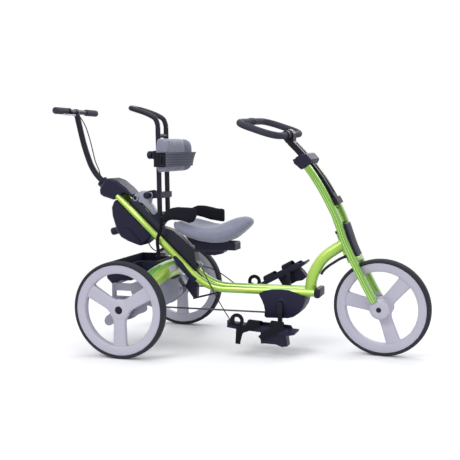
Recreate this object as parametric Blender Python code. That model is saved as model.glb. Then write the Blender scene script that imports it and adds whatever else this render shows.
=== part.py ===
"""Adaptive tricycle: twin-tube frame, three moulded wheels, seat, backrest, push handle and foot pedals.

Metres, +Z up, +X forward, +Y to the rider's left. Lengthwise places are laid out from the rear axle, and
LAYOUT_X moves the finished pieces so that the middle of the box on the ground is the origin.
"""
import math

import bmesh
import bpy
from mathutils import Matrix, Vector

for old in list(bpy.data.objects):
    bpy.data.objects.remove(old, do_unlink=True)

# Running gaps and seats
SEAT_GAP = 0.0003
RUN_GAP = 0.0008
SWING_GAP = 0.003

# Wheels
WHEEL_R = 0.203
TYRE_W = 0.046
TREAD_W = 0.016
SHOULDER_W = 0.031
SHOULDER_DROP = 0.0025
RIM_R = 0.188
RIM_W = 0.037
RIM_BAND = 0.036
SPOKE_T = 0.026
SPOKE_ROOT_W = 0.056
SPOKE_TIP_W = 0.064
HUB_R = 0.046
HUB_FACE_R = 0.024
FRONT_FACE_R = 0.037
WHEELBASE = 1.026
TRACK = 0.694
AXLE_R = 0.010
REAR_HUB_OUT = 0.0165
REAR_HUB_IN = 0.030
FRONT_HUB_HALF = 0.028
PLUG_R = 0.016
PLUG_DEPTH = 0.006
REAR_SPOKE_DEG = -90.0
FRONT_SPOKE_DEG = 49.0
WHEEL_SEGS = 32
DRUM_R = 0.048
DRUM_T = 0.012

# Twin-tube main frame
TWIN = 0.074
MAIN_R = 0.016
RAIL_R = 0.014
RAIL_TOP_X = -0.145
RAIL_TOP_Z = 0.648
RAIL_TAIL = 0.012
SLOPE_DEG = 43.6
SLEEVE_S = 0.270
LOW_TUBE_Z = 0.255
BEND_R = 0.210
TUBE_FRONT_X = 0.750
CAP_L = 0.034
NECK_R = 0.024
NECK_FOOT_X = 0.724
HEAD_X = 0.868
HEAD_Z = 0.464
HEAD_TILT_DEG = 20.0
HEAD_L = 0.096
HEAD_R = 0.0195
STEERER_R = 0.0135
STEERER_UP = 0.100
STEERER_LOW = 0.078
CUP_H = 0.011
CUP_R = 0.022
STEER_DEG = -7.0

# Slide track and carriages on the slope
TRACK_W = 0.038
TRACK_LOW_T = -0.006
TRACK_TOP_T = 0.045
TRACK_START_S = 0.047
TRACK_END_S = 0.478

# Fork
BLADE_IN = 0.033
BLADE_T = 0.022
BLADE_D = 0.029
STEM_W = 0.040
STEM_D = 0.026
DROPOUT_R = 0.026

# Handlebar loop
LOOP_HALF_W = 0.165
LOOP_FRONT_X = 0.632
LOOP_FRONT_Z = 0.915
LOOP_L = 0.186
LOOP_SLOPE_DEG = 18.5
LOOP_R = 0.0143
LOOP_CORNER = 0.072

# Push handle
PUSH_R = 0.0133
TBAR_X = -0.369
TBAR_Z = 1.034
TBAR_R = 0.0105
TBAR_HALF = 0.190
PUSH_GRIP_R = 0.0150
PUSH_GRIP_L = 0.105
PUSH_AXIS_T = -0.018

# Crank, chain and chain case
CRANK_X = 0.610
CRANK_Z = 0.207
CRANK_L = 0.108
CRANK_IN = 0.0685
CRANK_T = 0.012
CHAINRING_R = 0.048
SPROCKET_R = 0.047
CHAIN_T = 0.006
CHAIN_W = 0.008
CASE_HALF = 0.0575
CASE_WALL = 0.003
SPINDLE_R = 0.0065

# Footplates
FOOT_Y = 0.130
FOOT_W = 0.082
FOOT_L = 0.290
FOOT_BACK = 0.205
FOOT_T = 0.014
FOOT_TOP = 0.016
RIGHT_FOOT_DEG = -3.5
LEFT_FOOT_DEG = 28.0

# Rear beam and hub carriers
BEAM_X = 0.094
BEAM_D = 0.074
BEAM_H = 0.076
BEAM_CROWN_Z = 0.333
BEAM_DROP = 0.042
CARRIER_T = 0.012

# Storage bin
BIN_TOP_Z = 0.372
BIN_FLOOR_Z = 0.300
BIN_TROUGH_Z = 0.275
BIN_HALF_W = 0.192
BIN_REAR_X = -0.142
BIN_FRONT_X = -0.022
BIN_NOSE_X = 0.0549
BIN_NOSE_HALF = 0.088
BIN_WALL = 0.004

# Seat
BOX_HALF_W = 0.038
BOX_X0 = 0.215
BOX_X1 = 0.402
BOX_Z0 = 0.424
BOX_Z1 = 0.4586

# Backrest
UPRIGHT_Y = 0.045
UPRIGHT_R = 0.011
UPRIGHT_X = 0.056
UPRIGHT_BEND_Z = 0.962
TILT_Z = 0.565

LAYOUT_X = -(WHEELBASE + WHEEL_R + TBAR_X - PUSH_GRIP_R) / 2

SLOPE = math.radians(SLOPE_DEG)
ALONG = Vector((math.cos(SLOPE), 0, -math.sin(SLOPE)))
ACROSS = Vector((math.sin(SLOPE), 0, math.cos(SLOPE)))
RAIL_TOP = Vector((RAIL_TOP_X, 0, RAIL_TOP_Z))
HEAD_TILT = math.radians(HEAD_TILT_DEG)
HEAD_UP = Vector((-math.sin(HEAD_TILT), 0, math.cos(HEAD_TILT)))
HEAD_MID = Vector((HEAD_X, 0, HEAD_Z))


def material(name, hex_colour, roughness, metallic=0.0):
    """A plain Principled material from an sRGB hex colour."""
    channels = [int(hex_colour[i:i + 2], 16) / 255 for i in (0, 2, 4)]
    linear = [c / 12.92 if c <= 0.04045 else ((c + 0.055) / 1.055) ** 2.4 for c in channels]
    made = bpy.data.materials.new(name)
    made.use_nodes = True
    shader = made.node_tree.nodes["Principled BSDF"]
    shader.inputs["Base Color"].default_value = (*linear, 1)
    shader.inputs["Roughness"].default_value = roughness
    shader.inputs["Metallic"].default_value = metallic
    return made


LIME = material("lime_enamel", "8FC23F", 0.3)
BLACK = material("black_plastic", "2F2F3C", 0.5)
ANODISED = material("dark_anodised", "3C3C4A", 0.4, 0.5)
CASTING = material("grey_casting", "A3A5B3", 0.45, 0.6)
WHEEL = material("grey_moulding", "BDB9CA", 0.5)
TYRE = material("tyre_rubber", "33343D", 0.8)
PAD = material("grey_pad", "8E90A2", 0.6)
WEB = material("black_webbing", "1C1C24", 0.85)
STEEL = material("steel", "9A9AA4", 0.35, 1.0)
CORD = material("black_cord", "22222A", 0.7)


def slope(s, t, y=0.0):
    """A point s along the sloping rails from their top ends and t above their centre line."""
    return RAIL_TOP + ALONG * s + ACROSS * t + Vector((0, y, 0))


def slope_xz(s, t):
    """The same point as an (x, z) pair."""
    point = slope(s, t)
    return (point.x, point.z)


def finish(bm, name, made_of, sharp_deg=35):
    """Make a bmesh an object: normals out, smooth except across sharp edges."""
    bmesh.ops.remove_doubles(bm, verts=bm.verts, dist=1e-6)
    bmesh.ops.recalc_face_normals(bm, faces=bm.faces)
    mesh = bpy.data.meshes.new(name)
    bm.to_mesh(mesh)
    bm.free()
    mesh.materials.append(made_of)
    mesh.shade_smooth()
    mesh.set_sharp_from_angle(angle=math.radians(sharp_deg))
    made = bpy.data.objects.new(name, mesh)
    bpy.context.scene.collection.objects.link(made)
    return made


def guide(made):
    """Mark an object as a cutter or a piece that another one takes in."""
    made.hide_render = True
    made.display_type = 'WIRE'
    return made


def combine(made, other, operation):
    """Add a Boolean to made, with other as its hidden operand."""
    step = made.modifiers.new(operation.lower(), 'BOOLEAN')
    step.operation = operation
    step.object = guide(other)
    return made


def cut(made, *cutters):
    for cutter in cutters:
        combine(made, cutter, 'DIFFERENCE')
    return made


def weld(made, *others):
    for other in others:
        combine(made, other, 'UNION')
    return made


def soften(made, width, segments=1):
    """Round the edges of a piece with a Bevel."""
    step = made.modifiers.new("rounding", 'BEVEL')
    step.width = width
    step.segments = segments
    step.limit_method = 'ANGLE'
    step.angle_limit = math.radians(35)
    return made


def pivot(made, point):
    """Put an object's origin on its joint's axis."""
    made.data.transform(Matrix.Translation(-point))
    made.location = point
    return made


def prism(name, outline, y0, y1, made_of):
    """A closed outline of (x, z) points, extruded from y0 to y1."""
    bm = bmesh.new()
    face = bm.faces.new([bm.verts.new((x, y0, z)) for x, z in outline])
    moved = bmesh.ops.extrude_face_region(bm, geom=[face])
    verts = [item for item in moved["geom"] if isinstance(item, bmesh.types.BMVert)]
    bmesh.ops.translate(bm, verts=verts, vec=(0, y1 - y0, 0))
    return finish(bm, name, made_of)


def block(name, low, high, made_of):
    """A box between two corners."""
    outline = [(low[0], low[2]), (high[0], low[2]), (high[0], high[2]), (low[0], high[2])]
    return prism(name, outline, low[1], high[1], made_of)


def turned(name, profile, centre, axis, segments, made_of, phase=0.0):
    """Spin a profile of (radius, height) points about an axis through centre.

    A profile whose ends lie on the axis makes a solid piece, and a closed one makes a ring.
    """
    bm = bmesh.new()
    verts = [bm.verts.new((r, 0, h)) for r, h in profile]
    pairs = list(zip(verts, verts[1:]))
    if profile[0][0] > 0:
        pairs.append((verts[-1], verts[0]))
    edges = [bm.edges.new(pair) for pair in pairs]
    bmesh.ops.rotate(bm, verts=verts, cent=(0, 0, 0), matrix=Matrix.Rotation(phase, 3, 'Z'))
    bmesh.ops.spin(bm, geom=verts + edges, cent=(0, 0, 0), axis=(0, 0, 1), angle=math.tau,
                   steps=segments, use_merge=True)
    turn = Vector(axis).to_track_quat('Z', 'Y').to_matrix()
    bmesh.ops.rotate(bm, verts=bm.verts, cent=(0, 0, 0), matrix=turn)
    bmesh.ops.translate(bm, verts=bm.verts, vec=centre)
    return finish(bm, name, made_of)


def rod(name, start, end, radius, made_of, segments=16):
    """A round bar from start to end."""
    start, end = Vector(start), Vector(end)
    length = (end - start).length
    profile = [(0, 0), (radius, 0), (radius, length), (0, length)]
    return turned(name, profile, start, end - start, segments, made_of)


def ring(name, start, end, inner, outer, made_of, segments=24):
    """A round sleeve from start to end."""
    start, end = Vector(start), Vector(end)
    length = (end - start).length
    profile = [(inner, 0), (outer, 0), (outer, length), (inner, length)]
    return turned(name, profile, start, end - start, segments, made_of)


def tube(name, points, radius, made_of, sides_step=4):
    """A round bar bent along a path, as a mesh made from a bevelled curve with filled caps."""
    curve = bpy.data.curves.new(name, 'CURVE')
    curve.dimensions = '3D'
    curve.bevel_depth = radius
    curve.bevel_resolution = sides_step
    curve.use_fill_caps = True
    spline = curve.splines.new('POLY')
    spline.points.add(len(points) - 1)
    for place, point in zip(spline.points, points):
        place.co = (*point, 1)
    drawn = bpy.data.objects.new(name + "_path", curve)
    bpy.context.scene.collection.objects.link(drawn)
    bm = bmesh.new()
    bm.from_mesh(drawn.to_mesh())
    drawn.to_mesh_clear()
    bpy.data.objects.remove(drawn, do_unlink=True)
    bpy.data.curves.remove(curve)
    return finish(bm, name, made_of)


def loft(name, rings, made_of):
    """Skin a row of point rings of one count, with flat ends."""
    bm = bmesh.new()
    rows = [[bm.verts.new(point) for point in row] for row in rings]
    for low, high in zip(rows, rows[1:]):
        for i in range(len(low)):
            j = (i + 1) % len(low)
            bm.faces.new((low[i], low[j], high[j], high[i]))
    bm.faces.new(rows[0])
    bm.faces.new(list(reversed(rows[-1])))
    return finish(bm, name, made_of, 50)


def smooth_path(knots, steps):
    """Points on a Catmull-Rom curve through the knots, steps to a span."""
    knots = [Vector(k) for k in knots]
    padded = [2 * knots[0] - knots[1]] + knots + [2 * knots[-1] - knots[-2]]
    points = []
    for a, b, c, d in zip(padded, padded[1:], padded[2:], padded[3:]):
        for i in range(steps):
            t = i / steps
            points.append(((2 * b) + (c - a) * t + (2 * a - 5 * b + 4 * c - d) * t * t
                           + (3 * b - a - 3 * c + d) * t ** 3) / 2)
    return points + [knots[-1]]


def rounded(corners, reach, steps=3):
    """An outline of (x, z) corners, each rounded over its reach."""
    points = []
    count = len(corners)
    for i in range(count):
        here = Vector(corners[i])
        before = Vector(corners[i - 1]) - here
        after = Vector(corners[(i + 1) % count]) - here
        size = reach[i] if isinstance(reach, (list, tuple)) else reach
        size = min(size, before.length * 0.49, after.length * 0.49)
        if size <= 0:
            points.append(tuple(here))
            continue
        start = here + before.normalized() * size
        end = here + after.normalized() * size
        for k in range(steps + 1):
            t = k / steps
            points.append(tuple(start * (1 - t) ** 2 + here * 2 * t * (1 - t) + end * t * t))
    return points


def arc(centre, radius, start_deg, end_deg, steps):
    """Points on an arc in the XZ plane."""
    points = []
    for i in range(steps + 1):
        angle = math.radians(start_deg + (end_deg - start_deg) * i / steps)
        points.append((centre[0] + radius * math.cos(angle), centre[1] + radius * math.sin(angle)))
    return points


def at_y(pairs, y):
    return [Vector((x, y, z)) for x, z in pairs]


# The frame's path
LOW_BEND = BEND_R * math.tan(SLOPE / 2)
MEET = (RAIL_TOP_Z - LOW_TUBE_Z) / math.sin(SLOPE)
BEND_S = MEET - LOW_BEND
BEND_END_X = slope(MEET, 0).x + LOW_BEND


def main_path(start_s, end_x, steps=6):
    """Centre line of a main tube: down the slope, round the bend and forward."""
    centre = (BEND_END_X, LOW_TUBE_Z + BEND_R)
    turn = arc(centre, BEND_R, -90 - SLOPE_DEG, -90, steps)
    return [slope_xz(start_s, 0)] + turn + [(end_x, LOW_TUBE_Z)]


def twin_tubes(name, start_s, end_x, radius, sides_step=4):
    """Both main tubes, as one object for each side."""
    return [tube(f"{name}_{side}", at_y(main_path(start_s, end_x), TWIN / 2 * sign), radius, LIME, sides_step)
            for side, sign in (("right", -1), ("left", 1))]


def neck_path():
    """Centre line of the neck, from the main tubes up to the head tube."""
    knots = [(NECK_FOOT_X, 0, LOW_TUBE_Z + 0.004), (NECK_FOOT_X + 0.007, 0, LOW_TUBE_Z + 0.055),
             (NECK_FOOT_X + 0.028, 0, LOW_TUBE_Z + 0.105), (NECK_FOOT_X + 0.065, 0, LOW_TUBE_Z + 0.153),
             HEAD_MID - HEAD_UP * 0.004 - Vector((0.006, 0, 0))]
    return smooth_path(knots, 2)


def build_main_frame():
    """Twin main tubes with slimmer rails up the slope, cross plates, neck and head tube, welded."""
    right, left = twin_tubes("main_tube", SLEEVE_S, TUBE_FRONT_X, MAIN_R)
    right.name = "main_frame"
    parts = [left]
    for sign in (-1, 1):
        rail = rod(f"rail_{sign}", slope(-RAIL_TAIL, 0, TWIN / 2 * sign),
                   slope(SLEEVE_S + 0.02, 0, TWIN / 2 * sign), RAIL_R, LIME)
        parts.append(rail)
    bridge_half = TWIN / 2
    for label, s in (("top", 0.012), ("low", SLEEVE_S + 0.014)):
        corners = [slope_xz(s - 0.011, -0.011), slope_xz(s + 0.011, -0.011),
                   slope_xz(s + 0.011, TRACK_LOW_T - SEAT_GAP), slope_xz(s - 0.011, TRACK_LOW_T - SEAT_GAP)]
        parts.append(prism(f"bridge_{label}", corners, -bridge_half, bridge_half, LIME))
    parts.append(block("nose_bridge", (TUBE_FRONT_X - 0.031, -bridge_half, LOW_TUBE_Z - 0.012),
                       (TUBE_FRONT_X - 0.001, bridge_half, LOW_TUBE_Z + 0.012), LIME))
    parts.append(tube("neck", neck_path(), NECK_R, LIME, 5))
    parts.append(rod("head_tube", HEAD_MID - HEAD_UP * HEAD_L / 2, HEAD_MID + HEAD_UP * HEAD_L / 2, HEAD_R,
                     LIME, 20))
    weld(right, *parts)
    bore = rod("head_bore", HEAD_MID - HEAD_UP * HEAD_L, HEAD_MID + HEAD_UP * HEAD_L, STEERER_R + RUN_GAP,
               LIME, 20)
    return cut(right, bore)


def build_end_cap():
    """Plastic cap over the front ends of the main tubes."""
    half_w = TWIN / 2 + MAIN_R + 0.001
    low, high = LOW_TUBE_Z - MAIN_R - 0.005, LOW_TUBE_Z + MAIN_R + 0.004
    corners = [(TUBE_FRONT_X + SEAT_GAP, low), (TUBE_FRONT_X + CAP_L, low + 0.003),
               (TUBE_FRONT_X + CAP_L, high), (TUBE_FRONT_X + SEAT_GAP, high)]
    return soften(prism("frame_end_cap", corners, -half_w, half_w, BLACK), 0.006, 2)


def build_head_cup(name, sign):
    """Bearing cup above or below the head tube."""
    start = HEAD_MID + HEAD_UP * sign * (HEAD_L / 2 + SEAT_GAP)
    return ring(name, start, start + HEAD_UP * sign * CUP_H, STEERER_R + RUN_GAP, CUP_R, BLACK, 16)


def build_track():
    """Slotted rail between the tubes, on which the seat and the backrest are clamped."""
    low, high, half = TRACK_LOW_T, TRACK_TOP_T, TRACK_W / 2
    corners = [slope_xz(TRACK_START_S, low), slope_xz(TRACK_END_S, low), slope_xz(TRACK_END_S, high - 0.01),
               slope_xz(TRACK_END_S - 0.008, high), slope_xz(TRACK_START_S, high)]
    rail = prism("track_rail", corners, -half, half, ANODISED)
    slot = [slope_xz(TRACK_START_S + 0.02, high - 0.012), slope_xz(TRACK_END_S - 0.03, high - 0.012),
            slope_xz(TRACK_END_S - 0.03, high + 0.01), slope_xz(TRACK_START_S + 0.02, high + 0.01)]
    return cut(rail, prism("track_slot", slot, -0.006, 0.006, ANODISED))


def build_dome_cover():
    """Domed cover over the rails' top ends, where the push handle enters."""
    line = [(-0.103, 0.010), (-0.092, 0.034), (-0.055, 0.052), (-0.0015, 0.0575), (0.046, 0.056), (0.046, -0.020),
            (-0.014, -0.0265), (-0.045, -0.042), (-0.062, -0.052), (-0.078, -0.050), (-0.094, -0.036)]
    half_w = TWIN / 2 + RAIL_R
    dome = soften(prism("dome_cover", [slope_xz(s, t) for s, t in line], -half_w, half_w, BLACK), 0.008)
    roof, seat = TRACK_TOP_T + RUN_GAP, RAIL_R + RUN_GAP
    end = -RAIL_TAIL - RUN_GAP
    pocket = [(0.0, roof), (0.09, roof), (0.09, -0.09), (end, -0.09), (end, seat), (0.0, seat)]
    cut(dome, prism("dome_pocket", [slope_xz(s, t) for s, t in pocket], -0.08, 0.08, BLACK))
    return cut(dome, rod("dome_bore", slope(-0.2, PUSH_AXIS_T), slope(-0.030, PUSH_AXIS_T), PUSH_R + RUN_GAP,
                         BLACK, 20))


def housing_outline():
    """Oval mechanism housing under the rails, as (s, t) pairs."""
    top = -RAIL_R - SEAT_GAP
    return [(-0.006, -0.026), (0.006, -0.058), (0.034, -0.083), (0.064, -0.100), (0.096, -0.118),
            (0.128, -0.124), (0.165, -0.113), (0.202, -0.096), (0.226, -0.083), (0.231, -0.055),
            (0.232, -0.030), (0.228, top), (0.0, top)]


def build_mechanism_housing():
    """Oval housing with the rear steering and brake linkage, hung under the rails."""
    outline = [slope_xz(s, t) for s, t in housing_outline()]
    body = soften(prism("mechanism_housing", outline, -0.046, 0.046, BLACK), 0.006)
    plate_line = [(0.098, -0.096), (0.118, -0.117), (0.140, -0.1175), (0.215, -0.084), (0.218, -0.070),
                  (0.130, -0.066)]
    plate = rounded([slope_xz(s, t) for s, t in plate_line], 0.008, 1)
    return weld(body, prism("housing_plate", plate, -0.051, 0.051, BLACK))


def knob_axis():
    """Base and end of the round knob behind the housing."""
    base = slope(0.093, -0.1163)
    direction = Vector((-0.97, 0, -0.245)).normalized()
    return base, direction


def build_side_knob():
    """Round knob that engages the rear steering."""
    base, direction = knob_axis()
    start = base + direction * 0.0008
    profile = [(0, 0), (0.009, 0), (0.009, 0.006), (0.0165, 0.009), (0.0172, 0.040), (0.0150, 0.044), (0, 0.044)]
    return pivot(turned("side_knob", profile, start, direction, 20, BLACK), start)


def push_path():
    """Centre line of the push tube, from inside the dome up to the T-bar."""
    knots = [slope(-0.034, PUSH_AXIS_T), slope(-0.080, PUSH_AXIS_T), slope(-0.108, PUSH_AXIS_T),
             slope(-0.126, PUSH_AXIS_T + 0.001),
             Vector((-0.276, 0, 0.752)), Vector((-0.299, 0, 0.788)), Vector((-0.317, 0, 0.833)),
             Vector((-0.337, 0, 0.896)), Vector((-0.356, 0, 0.976)), Vector((TBAR_X, 0, TBAR_Z))]
    return smooth_path(knots, 2)


PUSH_AXIS_AT = slope(-0.09, PUSH_AXIS_T)
COLLAR_S = -0.108


LEVER_Y = -0.070
LEVER_AT = Vector((TBAR_X + 0.022, LEVER_Y, TBAR_Z - 0.016))


def build_push_tube():
    """Bent push tube with its T-bar, the collar that turns on the dome and the brake lever's clamp."""
    stem = tube("push_tube", push_path(), PUSH_R, BLACK)
    bar = rod("t_bar", (TBAR_X, -TBAR_HALF + 0.01, TBAR_Z), (TBAR_X, TBAR_HALF - 0.01, TBAR_Z), TBAR_R, BLACK)
    collar = rod("push_collar", slope(COLLAR_S - 0.016, PUSH_AXIS_T), slope(COLLAR_S, PUSH_AXIS_T), 0.026,
                 BLACK, 20)
    clamp = rod("lever_clamp", (TBAR_X, LEVER_Y - 0.008, TBAR_Z), (TBAR_X, LEVER_Y + 0.008, TBAR_Z),
                TBAR_R + 0.005, BLACK, 18)
    ear = block("lever_ear", (TBAR_X + 0.006, LEVER_Y - 0.006, TBAR_Z - 0.0135),
                (TBAR_X + 0.028, LEVER_Y + 0.004, TBAR_Z - 0.002), BLACK)
    return pivot(weld(stem, bar, collar, clamp, ear), PUSH_AXIS_AT)


def build_push_grip(name, sign):
    """Soft grip on an end of the T-bar."""
    start = Vector((TBAR_X, sign * (TBAR_HALF - PUSH_GRIP_L), TBAR_Z))
    end_wall = 0.006
    bore = TBAR_R + SEAT_GAP
    deep = PUSH_GRIP_L - end_wall
    profile = [(0, PUSH_GRIP_L), (0.011, PUSH_GRIP_L), (PUSH_GRIP_R, PUSH_GRIP_L - 0.005), (PUSH_GRIP_R, 0.004),
               (0.013, 0), (bore, 0), (bore, deep), (0, deep)]
    return pivot(turned(name, profile, start, (0, sign, 0), 16, BLACK), PUSH_AXIS_AT)


def build_brake_lever():
    """Brake lever in front of the T-bar, pulled towards the grip."""
    z = LEVER_AT.z
    corners = [(LEVER_AT.x - 0.006, LEVER_Y + 0.010), (LEVER_AT.x + 0.012, LEVER_Y + 0.006),
               (LEVER_AT.x + 0.018, LEVER_Y - 0.030), (LEVER_AT.x + 0.012, LEVER_Y - 0.095),
               (LEVER_AT.x + 0.006, LEVER_Y - 0.098), (LEVER_AT.x + 0.009, LEVER_Y - 0.030),
               (LEVER_AT.x - 0.002, LEVER_Y - 0.008)]
    bm = bmesh.new()
    face = bm.faces.new([bm.verts.new((x, y, z - 0.0045)) for x, y in corners])
    moved = bmesh.ops.extrude_face_region(bm, geom=[face])
    verts = [item for item in moved["geom"] if isinstance(item, bmesh.types.BMVert)]
    bmesh.ops.translate(bm, verts=verts, vec=(0, 0, 0.006))
    return pivot(soften(finish(bm, "brake_lever", STEEL), 0.0015), LEVER_AT)


CABLE_R = 0.0025
CABLE_KNOTS = [(-0.328, -0.062, 1.0205), (-0.312, -0.058, 1.000), (-0.296, -0.050, 0.965),
               (-0.283, -0.042, 0.915), (-0.272, -0.036, 0.860), (-0.262, -0.032, 0.810), (-0.248, -0.029, 0.775)]


def build_brake_cable():
    """Brake cable from the lever's clamp down to the collar."""
    end = slope(COLLAR_S - 0.016 - 0.0012, PUSH_AXIS_T + 0.015, -0.018)
    points = smooth_path([*CABLE_KNOTS, end + (ACROSS * 0.003 - ALONG * 0.012), end], 3)
    return pivot(tube("brake_cable", points, CABLE_R, CORD, 1), PUSH_AXIS_AT)


def build_wheel(name, centre, out_y, hub_out, hub_in, spoke_deg, bore_r, plug):
    """Moulded three-spoke wheel. out_y is the side its outer face looks to."""
    rim, band, spoke = RIM_W / 2, RIM_R - RIM_BAND, SPOKE_T / 2
    edge = RIM_R / math.cos(math.pi / WHEEL_SEGS)
    recess = hub_out - PLUG_DEPTH
    face_r = HUB_FACE_R if plug else FRONT_FACE_R
    face = [(face_r, hub_out), (HUB_R, spoke), (band, spoke), (band + 0.004, rim), (edge, rim - 0.001)]
    back = [(edge, -rim + 0.001), (band + 0.004, -rim), (band, -spoke), (HUB_R, -spoke), (face_r, -hub_in)]
    if plug:
        front = [(bore_r, recess), (PLUG_R, recess), (PLUG_R, hub_out)] + face
    else:
        front = [(bore_r, hub_out)] + face
    profile = front + back + [(bore_r, -hub_in)]
    wheel = turned(name, profile, centre, (0, out_y, 0), WHEEL_SEGS, WHEEL, math.pi / WHEEL_SEGS)
    tip = math.degrees(math.asin(SPOKE_TIP_W / 2 / band))
    root_r = HUB_R + 0.002
    root = math.degrees(math.asin(SPOKE_ROOT_W / 2 / root_r))
    for i in range(3):
        mid = spoke_deg + 60 + 120 * i
        corner_r = band - 0.003
        outer = arc((0, 0), corner_r, mid - 60 + tip, mid + 60 - tip, 6)
        inner = arc((0, 0), root_r, mid + 60 - root, mid - 60 + root, 3)
        line = outer + inner
        reach = [0.0] * len(line)
        for k in (0, len(outer) - 1, len(outer), len(line) - 1):
            reach[k] = 0.011
        window = [(centre.x + x, centre.z + z) for x, z in rounded(line, reach, 1)]
        cut(wheel, prism(f"{name}_window_{i}", window, centre.y - 0.06, centre.y + 0.06, WHEEL))
    return pivot(wheel, centre)


def build_tyre(name, centre):
    """Solid tyre with rounded shoulders and a flat crown, seated on the rim."""
    bead = RIM_R + SEAT_GAP
    stretch = 1 / math.cos(math.pi / WHEEL_SEGS)
    side = [(bead, RIM_W / 2), (bead + 0.004, TYRE_W / 2), (WHEEL_R - SHOULDER_DROP, SHOULDER_W / 2),
            (WHEEL_R, TREAD_W / 2)]
    profile = [(r, -y) for r, y in side] + list(reversed(side))
    profile = [(r * stretch, y) for r, y in profile]
    tyre = turned(name, profile, centre, (0, 1, 0), WHEEL_SEGS, TYRE, math.pi / WHEEL_SEGS)
    return pivot(tyre, centre)


REAR_RIGHT = Vector((0, -TRACK / 2, WHEEL_R))
REAR_LEFT = Vector((0, TRACK / 2, WHEEL_R))
FRONT = Vector((WHEELBASE, 0, WHEEL_R))
DRUM_OUT = TRACK / 2 - REAR_HUB_IN - SEAT_GAP
DRUM_IN = DRUM_OUT - DRUM_T
CARRIER_OUT = DRUM_IN - RUN_GAP
CARRIER_IN = CARRIER_OUT - CARRIER_T
AXLE_END = TRACK / 2 + REAR_HUB_OUT - PLUG_DEPTH


def build_wheels():
    """Three wheels and their tyres."""
    grip = AXLE_R + SEAT_GAP
    build_wheel("rear_rim_right", REAR_RIGHT, -1, REAR_HUB_OUT, REAR_HUB_IN, REAR_SPOKE_DEG, grip, True)
    build_wheel("rear_rim_left", REAR_LEFT, 1, REAR_HUB_OUT, REAR_HUB_IN, REAR_SPOKE_DEG, AXLE_R + RUN_GAP, True)
    build_wheel("front_rim", FRONT, -1, FRONT_HUB_HALF, FRONT_HUB_HALF, FRONT_SPOKE_DEG, AXLE_R + RUN_GAP, False)
    build_tyre("rear_tyre_right", REAR_RIGHT)
    build_tyre("rear_tyre_left", REAR_LEFT)
    build_tyre("front_tyre", FRONT)


def build_rear_axle():
    """Driven axle with its sprocket and the brake drums; it turns with the right wheel."""
    bore_end = AXLE_END - SEAT_GAP
    sprocket_w = 0.006
    hub_w = 0.014
    drum_r, drum_core = DRUM_R, 0.022
    profile = [(0, -bore_end), (AXLE_R, -bore_end), (AXLE_R, -DRUM_OUT), (drum_r, -DRUM_OUT),
               (drum_r, -DRUM_IN), (AXLE_R, -DRUM_IN), (AXLE_R, -hub_w), (drum_core, -hub_w),
               (drum_core, -sprocket_w / 2), (SPROCKET_R, -sprocket_w / 2), (SPROCKET_R, sprocket_w / 2),
               (drum_core, sprocket_w / 2), (drum_core, hub_w), (AXLE_R, hub_w), (AXLE_R, bore_end), (0, bore_end)]
    axle = turned("rear_axle", profile, (0, 0, WHEEL_R), (0, 1, 0), 20, STEEL)
    return pivot(axle, REAR_RIGHT)


def beam_section(y, grow=0.0):
    """A ring of the rear beam's oval section at y."""
    share = abs(y) / CARRIER_IN
    z = BEAM_CROWN_Z - BEAM_DROP * share ** 2.2
    x = BEAM_X - 0.006 * share
    points = []
    for k in range(16):
        angle = math.tau * k / 16
        c, s = math.cos(angle), math.sin(angle)
        points.append(Vector((x + (BEAM_D / 2 + grow) * math.copysign(abs(c) ** 0.75, c), y,
                              z + (BEAM_H / 2 + grow) * math.copysign(abs(s) ** 0.75, s))))
    return points


def beam(name, half, grow=0.0):
    """The beam between the hub carriers, or a cutter a little larger than it."""
    steps = 12
    rings = [beam_section(half * (2 * i / steps - 1), grow) for i in range(steps + 1)]
    return loft(name, rings, LIME)


def build_rear_beam():
    return beam("rear_axle_beam", CARRIER_IN - SEAT_GAP)


def beside_tubes(start_s, t, bend_deg, steps=3):
    """Points that run t above the main tubes' centre line, down the slope and into the bend."""
    centre = (BEND_END_X, LOW_TUBE_Z + BEND_R)
    first = -90 - SLOPE_DEG
    return [slope_xz(start_s, t)] + arc(centre, BEND_R - t, first, first + bend_deg, steps)


def build_beam_clamp():
    """Black clamp that seats the main tubes on the rear beam, with the chain guide and its strut below."""
    start, bend = 0.366, 13.0
    cover = beside_tubes(start, 0.003, bend) + list(reversed(beside_tubes(start, -0.021, bend)))
    body = prism("beam_clamp", cover, -0.0575, 0.0575, BLACK)
    plates = [slope_xz(0.352, -0.018), slope_xz(0.486, -0.0195), (0.2210, 0.2680), (0.2237, 0.2164),
              (0.2144, 0.1967), (0.2053, 0.1962), (0.1960, 0.2040), (0.1620, 0.2497), (0.1440, 0.2850),
              (0.1000, 0.3300), (0.0850, 0.3740)]
    weld(body, prism("clamp_plates", plates, -0.040, 0.040, BLACK))
    weld(body, rod("clamp_strut", (0.2120, -0.034, 0.2070), (0.3300, -0.034, 0.2335), 0.0048, BLACK, 10))
    chain_way = block("chain_way", (0.10, -0.012, 0.13), (0.30, 0.012, 0.2805), BLACK)
    tubes = twin_tubes("clamp_seat", SLEEVE_S - 0.05, 0.4, MAIN_R + SEAT_GAP)
    middle = [slope_xz(0.30, TRACK_LOW_T - SEAT_GAP), slope_xz(0.60, TRACK_LOW_T - SEAT_GAP), slope_xz(0.60, 0.03),
              slope_xz(0.30, 0.03)]
    track_way = prism("track_way", middle, -0.030, 0.030, BLACK)
    return cut(body, chain_way, *tubes, track_way, beam("clamp_saddle", 0.1, SEAT_GAP))


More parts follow.
